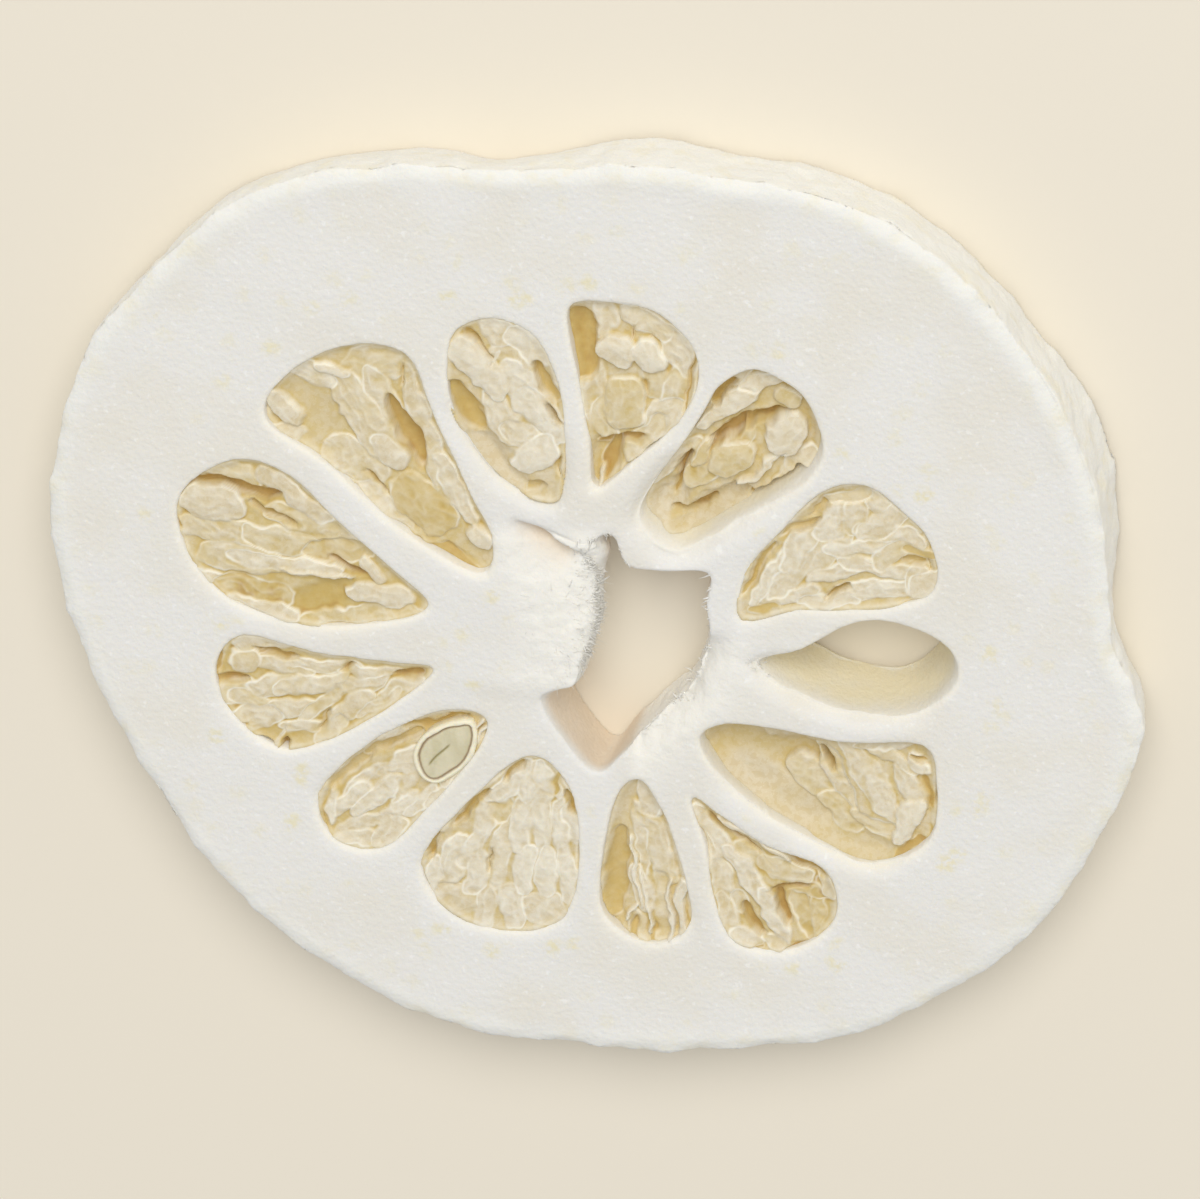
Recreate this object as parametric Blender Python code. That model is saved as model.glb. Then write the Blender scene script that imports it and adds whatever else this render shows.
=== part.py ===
"""A freeze-dried slice of etrog, cut across the fruit, lying flat. Metres, +Z up.

The slice is a thick disc of pith. A torn hole goes through its core, and thirteen pockets stand
round the core like petals, narrow end inwards. Twelve of them hold a block of dried pulp, one of
which wraps a seed, and one pocket is empty right through.
"""

from __future__ import annotations

import math
from dataclasses import dataclass

import bmesh
import bpy
from mathutils import Vector

# Driving dimensions, in millimetres.
MM = 0.001
THICKNESS = 6.5          # between the two cut faces
GAP = 0.32               # between a block of pulp and the wall round it
CUT_PAST = 1.0           # how far a cutter runs past each face
UNDER_RECESS = 0.35      # pulp stands back this far from the lower face
SHOULDER = 0.8           # height of the rounded edge of a block of pulp
FOLD_HEIGHT = 0.22       # of the folds across the top of the pulp
FOLDS = 5                # folds round one block
SEED_TOP = 0.15          # the cut seed lies this far below the upper face
SEED_DEPTH = 3.4
SEED_CLEARANCE = 0.34    # between the seed and the pulp that wraps it
SPAN_STEPS = 4           # straight pieces between two control points of an outline
RIM_STEPS = 5
LEVELS = (0.0, 0.3, 0.65, 1.0)    # heights of a wall's rings, as shares of the thickness

# The peeled rim, counter-clockwise from the east, with its knife facets: the upper edge, and how
# far the lower edge stands in from it.
RIM = [
    (39.3, 0.5, 0.8), (39.2, 6.5, -0.2), (37.6, 14.5, -0.7), (34.0, 22.5, 0.4),
    (28.2, 29.6, 0.7), (20.5, 34.7, 0.9), (12.0, 36.1, 0.9), (6.2, 36.9, 0.6),
    (0.0, 36.3, 1.2), (-5.5, 36.2, 2.1), (-11.0, 36.3, 1.5), (-19.5, 34.8, 1.5),
    (-26.0, 31.2, 1.0), (-33.6, 23.2, 0.8), (-36.4, 18.6, 1.0), (-38.7, 11.0, 1.2),
    (-39.1, 3.5, 0.9), (-37.2, -6.0, 0.7), (-33.8, -14.0, 1.0), (-30.0, -21.0, 1.3),
    (-25.4, -26.7, 0.6), (-18.5, -31.8, 0.9), (-11.5, -35.3, 1.4), (-2.0, -36.6, 0.9),
    (9.0, -36.3, 0.7), (18.5, -34.6, 1.1), (27.0, -30.2, 0.8), (34.0, -23.5, 1.0),
    (38.8, -15.5, 0.8), (41.5, -8.2, 0.9), (41.0, -4.2, 1.2),
]

# The torn hole through the core: each corner at the upper face, then at the lower one.
CORE_HOLE = [
    ((9.9, -1.3), (9.3, -1.6)), ((9.7, 1.6), (9.2, 1.3)), ((10.1, 4.3), (9.3, 3.8)),
    ((6.8, 4.4), (6.7, 4.2)), ((4.0, 4.7), (4.2, 4.6)), ((2.9, 7.3), (3.0, 6.4)),
    ((0.6, 6.7), (1.4, 5.2)), ((-4.4, 8.1), (0.9, 3.4)), ((-2.4, 3.6), (0.6, 1.6)),
    ((-0.9, -1.6), (0.4, -2.6)), ((-0.4, -4.8), (-0.2, -6.2)), ((-3.1, -6.7), (-1.7, -8.4)),
    ((-1.0, -10.8), (-0.5, -11.0)), ((1.0, -12.8), (1.4, -13.1)), ((3.2, -10.8), (3.2, -10.9)),
    ((6.2, -7.6), (6.2, -7.7)), ((8.3, -5.6), (8.1, -5.6)),
]

SEED_OUTLINE = [
    (-8.3, -8.9), (-11.5, -9.9), (-12.9, -12.0), (-12.2, -14.1), (-10.6, -14.1), (-8.3, -11.8),
]


@dataclass(frozen=True)
class Pocket:
    """One pocket of the fruit, as its outline at the upper face, counter-clockwise from its tip."""

    name: str
    outline: tuple[tuple[float, float], ...]
    shrink: float = 0.06                      # share by which it is smaller at the lower face
    lean: tuple[float, float] = (0.0, 0.0)    # how far its lower end is moved sideways
    recess: float = 0.55                      # depth of the pulp's top at the outer end
    dip: float = 0.25                         # how much deeper it is at the tip
    filled: bool = True


POCKETS = (
    Pocket("01", ((1.8, 10.9), (4.2, 12.7), (8.1, 16.4), (9.8, 20.0), (9.3, 23.1), (6.6, 25.6),
                  (3.0, 26.1), (0.5, 25.4), (0.9, 20.5), (1.6, 14.5))),
    Pocket("02", ((7.6, 5.4), (12.0, 8.0), (17.2, 11.9), (18.8, 15.2), (17.4, 19.2), (14.0, 21.1),
                  (11.3, 19.6), (9.1, 15.8), (6.0, 11.3), (4.7, 8.0)),
           shrink=0.30, lean=(0.4, 1.9), recess=1.7, dip=1.0),
    Pocket("03", ((12.3, 0.6), (16.5, 1.6), (22.5, 2.0), (26.5, 3.6), (26.4, 7.6), (24.2, 10.3),
                  (21.6, 12.2), (18.4, 11.3), (15.2, 7.8), (12.7, 4.4))),
    Pocket("04", ((12.9, -3.2), (16.0, -5.8), (20.5, -7.2), (25.0, -6.8), (28.0, -3.9),
                  (27.6, -1.0), (24.3, 0.8), (20.6, 0.8), (16.6, -1.6)),
           shrink=0.33, lean=(0.3, 0.1), filled=False),
    Pocket("05", ((8.8, -10.0), (11.3, -14.1), (16.5, -17.7), (21.4, -19.8), (25.7, -17.3),
                  (26.4, -12.4), (25.4, -9.2), (19.5, -9.3), (14.0, -8.3), (10.2, -8.3)),
           shrink=0.10, recess=0.7, dip=2.4),
    Pocket("06", ((7.9, -14.5), (8.9, -18.6), (9.4, -23.5), (11.0, -27.0), (15.3, -27.3),
                  (18.5, -24.2), (17.8, -20.2), (13.5, -18.4), (10.0, -15.9))),
    Pocket("07", ((4.2, -13.3), (2.3, -14.9), (0.9, -20.8), (1.0, -25.2), (4.2, -27.4),
                  (7.1, -26.2), (7.5, -23.2), (6.1, -16.9))),
    Pocket("08", ((-4.6, -11.8), (-8.4, -15.3), (-12.5, -20.4), (-12.1, -24.0), (-8.6, -26.6),
                  (-3.6, -26.4), (-1.2, -23.4), (-0.7, -16.4), (-2.1, -12.7))),
    Pocket("09", ((-7.3, -8.5), (-11.0, -8.3), (-16.4, -11.4), (-20.3, -15.8), (-19.4, -19.6),
                  (-15.6, -20.2), (-11.9, -16.4), (-8.0, -11.4))),
    Pocket("10", ((-10.9, -4.7), (-14.0, -4.3), (-20.0, -3.7), (-25.3, -2.5), (-27.5, -5.2),
                  (-26.6, -9.0), (-23.2, -12.0), (-19.0, -11.0), (-14.1, -7.8))),
    Pocket("11", ((-11.0, 0.6), (-13.4, 3.3), (-17.6, 7.5), (-21.0, 11.1), (-25.0, 12.1),
                  (-29.2, 9.2), (-29.2, 4.5), (-26.0, 0.3), (-20.5, -1.5), (-14.6, -1.0))),
    Pocket("12", ((-7.2, 3.4), (-5.9, 6.0), (-7.4, 9.9), (-9.9, 16.5), (-11.7, 21.4),
                  (-16.5, 21.7), (-21.0, 18.9), (-22.4, 15.4), (-18.0, 12.0), (-13.0, 6.9)),
           shrink=0.10, lean=(0.3, 0.5), recess=0.9, dip=0.6),
    Pocket("13", ((-1.8, 9.6), (-0.6, 11.2), (-0.3, 18.0), (-1.8, 22.8), (-5.2, 24.5),
                  (-8.3, 22.6), (-8.4, 16.7), (-5.5, 11.5))),
)

# Colours are linear.
PITH_COLOUR = (0.80, 0.77, 0.71)
PULP_COLOUR = (0.67, 0.55, 0.35)
SEED_COLOUR = (0.57, 0.52, 0.34)


def smooth_loop(corners: list, steps: int) -> list[Vector]:
    """A closed Catmull-Rom curve through the corners, with so many straight pieces to a span."""
    points = [Vector(corner) for corner in corners]
    count = len(points)
    loop = []
    for i in range(count):
        a, b, c, d = (points[(i + k) % count] for k in (-1, 0, 1, 2))
        for step in range(steps):
            t = step / steps
            loop.append(
                0.5 * (2 * b + (c - a) * t + (2 * a - 5 * b + 4 * c - d) * t**2
                       + (3 * b - a - 3 * c + d) * t**3)
            )
    return loop


def middle(loop: list[Vector]) -> Vector:
    """The middle of a loop's box."""
    low = Vector(min(p[k] for p in loop) for k in (0, 1))
    high = Vector(max(p[k] for p in loop) for k in (0, 1))
    return (low + high) / 2


def centroid(loop: list[Vector]) -> Vector:
    """The mean of a loop's points."""
    return sum(loop, Vector((0.0, 0.0))) / len(loop)


def scaled(loop: list[Vector], share: float, about: Vector) -> list[Vector]:
    """The loop, drawn in towards a point."""
    return [about + (p - about) * share for p in loop]


def share_inside(loop: list[Vector], gap: float) -> float:
    """The share of its size at which a copy of the loop lies a gap inside it on every side."""
    about = centroid(loop)
    nearest = math.inf
    for p, q in zip(loop, loop[1:] + loop[:1]):
        along = (q - p).normalized()
        nearest = min(nearest, abs(along.cross(p - about)))
    return 1 - gap / nearest


def pocket_loop(pocket: Pocket, z: float) -> list[Vector]:
    """A pocket's outline at a height, between its upper and its lower form."""
    loop = smooth_loop(pocket.outline, SPAN_STEPS)
    down = 1 - z / THICKNESS
    lowered = scaled(loop, 1 - pocket.shrink * down, centroid(loop))
    return [p + Vector(pocket.lean) * down for p in lowered]


def rim_loop(z: float) -> list[Vector]:
    """The rim's outline at a height. It curves in towards its lower edge."""
    down = (1 - z / THICKNESS) ** 1.5
    loop = smooth_loop(RIM, RIM_STEPS)
    about = middle(loop)
    return [p.xy - (p.xy - about).normalized() * (p.z * down) for p in loop]


def core_loop(z: float) -> list[Vector]:
    """The core hole's outline at a height. Its west side slopes in quickly below the face."""
    down = math.sin((1 - z / THICKNESS) * math.pi / 2)
    corners = [Vector(top).lerp(Vector(under), down) for top, under in CORE_HOLE]
    return smooth_loop(corners, SPAN_STEPS)


CENTRE = middle(smooth_loop(RIM, RIM_STEPS))


def material(name: str, colour: tuple[float, float, float], roughness: float) -> bpy.types.Material:
    """A plain Principled finish."""
    made = bpy.data.materials.new(name)
    made.use_nodes = True
    shader = made.node_tree.nodes["Principled BSDF"]
    shader.inputs["Base Color"].default_value = (*colour, 1.0)
    shader.inputs["Roughness"].default_value = roughness
    shader.inputs["Metallic"].default_value = 0.0
    return made


def ring_verts(bm: bmesh.types.BMesh, ring: list) -> list[bmesh.types.BMVert]:
    """The corners of one ring of (x, y, z) in millimetres, about the slice's middle."""
    return [bm.verts.new(Vector((x - CENTRE.x, y - CENTRE.y, z)) * MM) for x, y, z in ring]


def wall(bm: bmesh.types.BMesh, rings: list) -> tuple[list, list]:
    """A wall through rings of equal point count, from the lowest up. Returns its two end rings."""
    made = [ring_verts(bm, ring) for ring in rings]
    for lower, upper in zip(made, made[1:]):
        for i in range(len(lower)):
            j = (i + 1) % len(lower)
            bm.faces.new((lower[i], lower[j], upper[j], upper[i]))
    return made[0], made[-1]


def finished(name: str, bm: bmesh.types.BMesh, finish: bpy.types.Material | None) -> bpy.types.Object:
    """The object made of a closed mesh, with its faces turned outwards."""
    bmesh.ops.recalc_face_normals(bm, faces=bm.faces)
    mesh = bpy.data.meshes.new(name)
    bm.to_mesh(mesh)
    bm.free()
    obj = bpy.data.objects.new(name, mesh)
    bpy.context.scene.collection.objects.link(obj)
    if finish:
        mesh.materials.append(finish)
    return obj


def loft(name: str, rings: list, finish: bpy.types.Material | None = None) -> bpy.types.Object:
    """One closed body through rings, each end closed by a fan of triangles round its middle."""
    bm = bmesh.new()
    ends = wall(bm, rings)
    bmesh.ops.poke(bm, faces=[bm.faces.new(end) for end in ends])
    return finished(name, bm, finish)


def slab_with_openings(name: str, walls: list, finish: bpy.types.Material) -> bpy.types.Object:
    """A slab with openings right through it. The first wall is its rim, and the rest are inside it."""
    bm = bmesh.new()
    ends = [wall(bm, rings) for rings in walls]
    for side in (0, 1):
        edges = [edge for end in ends for edge in ring_edges(end[side])]
        bmesh.ops.triangle_fill(bm, use_beauty=True, edges=edges, normal=(0, 0, 1))
    return finished(name, bm, finish)


def ring_edges(ring: list[bmesh.types.BMVert]) -> list[bmesh.types.BMEdge]:
    """The edges between the neighbours of a ring."""
    neighbours = zip(ring, ring[1:] + ring[:1])
    return [edge for a, b in neighbours for edge in a.link_edges if edge.other_vert(a) is b]


def at_height(loop: list[Vector], z: float) -> list[tuple[float, float, float]]:
    """A flat ring."""
    return [(p.x, p.y, z) for p in loop]


def upright(outline_at) -> list:
    """The rings of a wall that follows an outline from the lower face to the upper."""
    return [at_height(outline_at(THICKNESS * share), THICKNESS * share) for share in LEVELS]


def subtract(target: bpy.types.Object, cutter: bpy.types.Object) -> None:
    """Cuts a helper out of a body."""
    cutter.hide_render = True
    cutter.display_type = "WIRE"
    cut = target.modifiers.new("cut", "BOOLEAN")
    cut.operation = "DIFFERENCE"
    cut.solver = "EXACT"
    cut.object = cutter


def pulp_block(pocket: Pocket, finish: bpy.types.Material) -> bpy.types.Object:
    """A block of dried pulp that fills its pocket, with rounded edges and a folded top."""
    tip = Vector(pocket.outline[0])
    reach = max((Vector(p) - tip).length for p in pocket.outline)

    def ring(z: float, share: float, over: float) -> list[tuple[float, float, float]]:
        """A ring at a height. over lowers it with the pulp's top, from 0, not at all, to 1."""
        loop = pocket_loop(pocket, z)
        about = centroid(loop)
        loop = scaled(loop, share * share_inside(loop, GAP), about)
        made = []
        for p in loop:
            towards_tip = 1 - min(1.0, (p - tip).length / reach)
            spoke = math.atan2(p.y - about.y, p.x - about.x)
            fold = FOLD_HEIGHT * math.cos(FOLDS * spoke) * share
            made.append((p.x, p.y, z - over * (pocket.dip * towards_tip + fold)))
        return made

    top = THICKNESS - pocket.recess
    under = UNDER_RECESS
    return loft(
        f"pulp_{pocket.name}",
        [
            ring(under, 0.90, 0.0),
            ring(under + SHOULDER, 1.0, 0.0),
            ring(top - SHOULDER, 1.0, 0.6),
            ring(top - SHOULDER * 0.35, 0.92, 0.9),
            ring(top, 0.62, 1.0),
        ],
        finish,
    )


def seed_body(name: str, grown: float, finish: bpy.types.Material | None) -> bpy.types.Object:
    """The cut seed: a flat leaf-shaped face with a rounded body below it, grown by a clearance."""
    loop = smooth_loop(SEED_OUTLINE, SPAN_STEPS)
    about = centroid(loop)
    radius = min((p - about).length for p in loop)
    face = THICKNESS - SEED_TOP
    rings = []
    for turn in (80, 55, 30, 0):
        down = math.sin(math.radians(turn))
        share = math.cos(math.radians(turn)) + grown / radius
        rings.append(at_height(scaled(loop, share, about), face - (SEED_DEPTH + grown) * down))
    if grown:
        rings.append(at_height(scaled(loop, 1 + grown / radius, about), THICKNESS + CUT_PAST))
    return loft(name, rings, finish)


def build() -> None:
    """Makes every piece of the slice."""
    for obj in list(bpy.data.objects):
        bpy.data.objects.remove(obj, do_unlink=True)
    pith_finish = material("pith", PITH_COLOUR, 0.95)
    pulp_finish = material("pulp", PULP_COLOUR, 0.7)
    seed_finish = material("seed", SEED_COLOUR, 0.55)

    walls = [upright(rim_loop), upright(core_loop)]
    for pocket in POCKETS:
        walls.append(upright(lambda z, pocket=pocket: pocket_loop(pocket, z)))
    slab_with_openings("pith", walls, pith_finish)

    blocks = {pocket.name: pulp_block(pocket, pulp_finish) for pocket in POCKETS if pocket.filled}
    seed_body("seed", 0.0, seed_finish)
    subtract(blocks["09"], seed_body("cut_seed", SEED_CLEARANCE, None))


build()
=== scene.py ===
"""The looks of a freeze-dried slice of etrog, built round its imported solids.

The slice is a disc of white pith with a torn core and thirteen pockets of dried pulp. This script
gives the pith its powdery cut face, fills each pocket with papery juice sacs, finishes the cut seed
and lays the loose fibres round the core. Lengths are in millimetres until a mesh is finished, and
places on the slice are measured from the middle of its core.
"""

import logging
import math
from collections.abc import Callable
from dataclasses import dataclass, field, replace
from enum import Enum
from itertools import product

import bmesh
import bpy
import numpy as np
from mathutils import Matrix, Vector
from mathutils.bvhtree import BVHTree


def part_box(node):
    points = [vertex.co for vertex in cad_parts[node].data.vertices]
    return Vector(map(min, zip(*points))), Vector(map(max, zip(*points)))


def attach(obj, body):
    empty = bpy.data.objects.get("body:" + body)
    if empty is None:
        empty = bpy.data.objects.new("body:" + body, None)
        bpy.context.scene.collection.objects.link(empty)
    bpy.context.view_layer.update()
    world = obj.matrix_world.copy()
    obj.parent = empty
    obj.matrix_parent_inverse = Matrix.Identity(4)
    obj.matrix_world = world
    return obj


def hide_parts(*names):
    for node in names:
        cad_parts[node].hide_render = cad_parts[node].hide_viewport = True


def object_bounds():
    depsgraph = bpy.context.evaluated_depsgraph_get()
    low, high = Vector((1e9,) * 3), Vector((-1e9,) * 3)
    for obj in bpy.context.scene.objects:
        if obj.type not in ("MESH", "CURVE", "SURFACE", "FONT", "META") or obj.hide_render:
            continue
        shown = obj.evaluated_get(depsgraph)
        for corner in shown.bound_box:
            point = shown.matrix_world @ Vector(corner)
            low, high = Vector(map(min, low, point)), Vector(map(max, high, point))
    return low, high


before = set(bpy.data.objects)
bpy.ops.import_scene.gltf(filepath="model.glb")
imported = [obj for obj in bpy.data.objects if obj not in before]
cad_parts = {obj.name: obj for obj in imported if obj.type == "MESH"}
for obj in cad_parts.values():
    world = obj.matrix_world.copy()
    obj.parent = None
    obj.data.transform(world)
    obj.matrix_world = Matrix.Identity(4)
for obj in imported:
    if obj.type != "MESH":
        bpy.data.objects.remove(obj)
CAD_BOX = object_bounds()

log = logging.getLogger("slice")

MM = 0.001
MERGE = 1e-6                             # points this near each other, in metres, are one
BODY = "root"
CORE = np.array([-1.204, -0.115])        # the core's middle, from the middle of the slice
LOW, HIGH = (np.array(corner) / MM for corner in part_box("pith"))
THICKNESS = float(HIGH[2] - LOW[2])
LOOK_TILT = math.radians(30.0)           # how far the camera leans from straight overhead
LOOK_SIDE = math.radians(20.0)           # towards this side, clockwise from +Y
SIDE = np.array([math.sin(LOOK_SIDE), math.cos(LOOK_SIDE)])
Colour = tuple[float, float, float, float]


def paint(red: float, green: float, blue: float) -> Colour:
    """A colour for a shader.

    Args:
        red, green, blue: The channels as a screen shows them, from 0 to 255.

    Returns:
        The colour in linear light.
    """
    linear = []
    for channel in (red, green, blue):
        share = channel / 255
        linear.append(share / 12.92 if share <= 0.04045 else ((share + 0.055) / 1.055) ** 2.4)
    return (*linear, 1.0)


# ---------------------------------------------------------------------------------- shader maths


def in_node(operation: str, swapped: bool = False) -> Callable[["Level", object], "Level"]:
    """A method that works out a Level and another value in a Math node, the other first if swapped."""
    def method(self: "Level", other: object) -> "Level":
        """The result of the operation."""
        return self._with(operation, *((other, self) if swapped else (self, other)))
    return method


class Level:
    """A number that varies over a surface, for sums written in plain Python."""

    def __init__(self, board: "Board", socket: bpy.types.NodeSocket) -> None:
        """Wraps a node's output socket."""
        self.board = board
        self.socket = socket

    def _with(self, operation: str, *values: object) -> "Level":
        """The result of a Math node on these values."""
        made = self.board.node("ShaderNodeMath", {"operation": operation}, dict(enumerate(values)))
        return Level(self.board, made.outputs[0])

    __add__, __radd__ = in_node("ADD"), in_node("ADD", swapped=True)
    __sub__, __rsub__ = in_node("SUBTRACT"), in_node("SUBTRACT", swapped=True)
    __mul__ = in_node("MULTIPLY")

    def size(self) -> "Level":
        """The value without its sign."""
        return self._with("ABSOLUTE", self)

    def clamped(self) -> "Level":
        """The value, kept from 0 to 1."""
        made = self.board.node("ShaderNodeClamp", {}, {"Value": self})
        return Level(self.board, made.outputs[0])

    def between(self, low: float, high: float) -> "Level":
        """A smooth step from 0 at low to 1 at high."""
        inputs = {"Value": self, "From Min": low, "From Max": high}
        made = self.board.node("ShaderNodeMapRange", {"interpolation_type": "SMOOTHSTEP"}, inputs)
        return Level(self.board, made.outputs[0])


class Board:
    """The node tree of one material."""

    def __init__(self, name: str) -> None:
        """Starts a material that holds only its output."""
        self.material = bpy.data.materials.new(name)
        self.material.use_nodes = True
        self.tree = self.material.node_tree
        self.tree.nodes.clear()
        self.output = self.node("ShaderNodeOutputMaterial", {}, {})
        self.place = self.node("ShaderNodeTexCoord", {}, {}).outputs["Object"]

    def node(self, kind: str, settings: dict, inputs: dict) -> bpy.types.Node:
        """Adds a node.

        Args:
            kind: The node's type.
            settings: Its properties, set first. "stops" holds a ramp's places and colours.
            inputs: The value, Level or socket for each input, by name or number.

        Returns:
            The node.
        """
        made = self.tree.nodes.new(kind)
        for name, value in settings.items():
            if name == "stops":
                self._set_stops(made.color_ramp, value)
            else:
                setattr(made, name, value)
        for name, value in inputs.items():
            socket = made.inputs[name]
            if isinstance(value, Level):
                self.tree.links.new(value.socket, socket)
            elif isinstance(value, bpy.types.NodeSocket):
                self.tree.links.new(value, socket)
            else:
                socket.default_value = value
        return made

    @staticmethod
    def _set_stops(ramp: bpy.types.ColorRamp, stops: list[tuple[float, Colour]]) -> None:
        """Gives a ramp its stops."""
        while len(ramp.elements) < len(stops):
            ramp.elements.new(1.0)
        for element, (place, colour) in zip(ramp.elements, stops):
            element.position = place
            element.color = colour

    def attribute(self, name: str) -> Level:
        """The mesh attribute of this name."""
        made = self.node("ShaderNodeAttribute", {"attribute_name": name}, {})
        return Level(self, made.outputs["Fac"])

    def noise(self, size: float, detail: float = 3.0, squeeze: Vector | None = None) -> Level:
        """Cloudy noise.

        Args:
            size: How many millimetres one cloud is wide.
            detail: The number of finer layers.
            squeeze: How much narrower the pattern is along each axis, if it isn't even.

        Returns:
            The noise, about 0.5.
        """
        place = self.place
        if squeeze is not None:
            place = self.node("ShaderNodeMapping", {}, {"Vector": place, "Scale": squeeze}).outputs[0]
        inputs = {"Vector": place, "Scale": 1 / (size * MM), "Detail": detail}
        return Level(self, self.node("ShaderNodeTexNoise", {}, inputs).outputs[0])

    def spots(self, size: float, wander: float) -> Level:
        """The distance to the nearest of points scattered over the plan.

        Args:
            size: The spacing of the points in millimetres, which is also the unit of the distance.
            wander: How far the pattern is bent out of shape, in millimetres.

        Returns:
            The distance.
        """
        cloud = {"Vector": self.place, "Scale": 1 / (0.7 * MM), "Detail": 2.0}
        bend = self.node("ShaderNodeTexNoise", {}, cloud).outputs["Color"]
        inputs = {0: bend, 1: Vector((wander, wander, 0.0)) * MM, 2: self.place}
        bent = self.node("ShaderNodeVectorMath", {"operation": "MULTIPLY_ADD"}, inputs).outputs[0]
        inputs = {"Vector": bent, "Scale": 1 / (size * MM)}
        cells = self.node("ShaderNodeTexVoronoi", {"voronoi_dimensions": "2D"}, inputs)
        return Level(self, cells.outputs["Distance"])

    def ramp(self, level: Level, stops: list[tuple[float, Colour]]) -> bpy.types.NodeSocket:
        """The colour that a ramp gives each value."""
        return self.node("ShaderNodeValToRGB", {"stops": stops}, {0: level}).outputs[0]

    def mix(self, share: object, first: object, second: object) -> bpy.types.NodeSocket:
        """A colour between two, the second as far as the share says."""
        inputs = {"Factor": share, 6: first, 7: second}
        return self.node("ShaderNodeMix", {"data_type": "RGBA"}, inputs).outputs[2]

    def bump(self, relief: Level, depth: float) -> bpy.types.NodeSocket:
        """A normal bumped by a relief from 0 to 1 that is this many millimetres deep."""
        inputs = {"Height": relief, "Distance": depth * MM, "Strength": 1.0}
        return self.node("ShaderNodeBump", {}, inputs).outputs[0]

    def finish(self, varied: dict, constants: dict) -> bpy.types.Material:
        """Ends the tree in a Principled shader.

        Args:
            varied: The inputs that change over the surface.
            constants: The inputs that don't.

        Returns:
            The material.
        """
        shader = self.node("ShaderNodeBsdfPrincipled", {}, {**constants, **varied})
        self.tree.links.new(shader.outputs[0], self.output.inputs["Surface"])
        return self.material


# --------------------------------------------------------------------------------------- finishes


@dataclass(frozen=True)
class PithFinish:
    """White, powdery pith: flecked with cream on its faces; golden down the walls of its pockets, which
    is painted shade; paler along their lips, a painted highlight; and pinkish down the core's walls,
    partly their own tint and partly painted shade.
    """

    white: Colour = paint(237, 235, 230)
    warm: Colour = paint(235, 231, 221)
    sparkle: Colour = paint(250, 249, 246)
    # Painted highlight: paler along the pockets' lips.
    fleck: Colour = paint(236, 227, 190)
    # Painted shade: the pocket walls are painted these lining colours further down, for the shade
    # deeper in the pockets.
    lip: Colour = paint(247, 242, 229)
    lining: Colour = paint(230, 224, 208)
    deep_lining: Colour = paint(234, 224, 194)
    skin: Colour = paint(240, 239, 233)
    skin_fleck: Colour = paint(239, 235, 220)
    # Whiter than the face partly by its own colour and partly as painted light against the shade among
    # the tufts.
    cotton: Colour = paint(248, 245, 236)
    # Partly the core walls' own pinkish tint, partly painted shade deepening down the core's wall and
    # in the hollow at its north end.
    blush: Colour = paint(230, 215, 194)

    def material(self) -> bpy.types.Material:
        """The material, which reads the attributes lining, lip, skin, cotton, blush and face."""
        board = Board("dry_pith")
        broad = board.noise(8.0, 3.0)
        fine = board.noise(0.55, 3.0)
        blotches = board.noise(2.0, 3.0)
        colour = board.mix(broad.between(0.42, 0.68), self.white, self.warm)
        colour = board.mix(fine.between(0.60, 0.72) * 0.5, colour, self.sparkle)
        dots = board.spots(3.4, 1.1).between(0.30, 0.06) * fine.between(0.34, 0.60)
        veins = 1.0 - (blotches - 0.5).size().between(0.0, 0.02)
        flecks = (dots * 0.8 + veins * 0.16) * broad.between(0.60, 0.48) * board.attribute("face")
        colour = board.mix(flecks.clamped(), colour, self.fleck)
        skin = board.mix(blotches.between(0.50, 0.70), self.skin, self.skin_fleck)
        colour = board.mix(board.attribute("skin").clamped(), colour, skin)
        # Pinkish down the core's walls: their own tint and painted shade.
        colour = board.mix(board.attribute("blush").clamped(), colour, self.blush)
        # The cotton colour, painted brighter as light against its shading as well as whiter by nature.
        colour = board.mix(board.attribute("cotton") * 0.8, colour, self.cotton)
        # Painted highlight along the pockets' lips.
        colour = board.mix(board.attribute("lip") * 0.8, colour, self.lip)
        # Painted shade: the pocket walls turn to the lining colours with depth, blotched towards the
        # deeper one.
        lining = board.attribute("lining")
        walls = board.mix((lining - 0.85 + blotches).clamped() * 1.4, self.lining, self.deep_lining)
        colour = board.mix((lining * 2.2).clamped(), colour, walls)
        normal = board.bump(board.noise(0.40, 4.0), 0.09)
        return board.finish(
            {"Base Color": colour, "Roughness": 0.97 - lining * 0.25, "Normal": normal},
            {
                "Specular IOR Level": 0.25,
                "Subsurface Weight": 0.25,
                "Subsurface Radius": Vector((1.0, 0.9, 0.72)),
                "Subsurface Scale": 0.5 * MM,
                "Sheen Weight": 0.12,
                "Sheen Roughness": 0.6,
            },
        )


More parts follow.
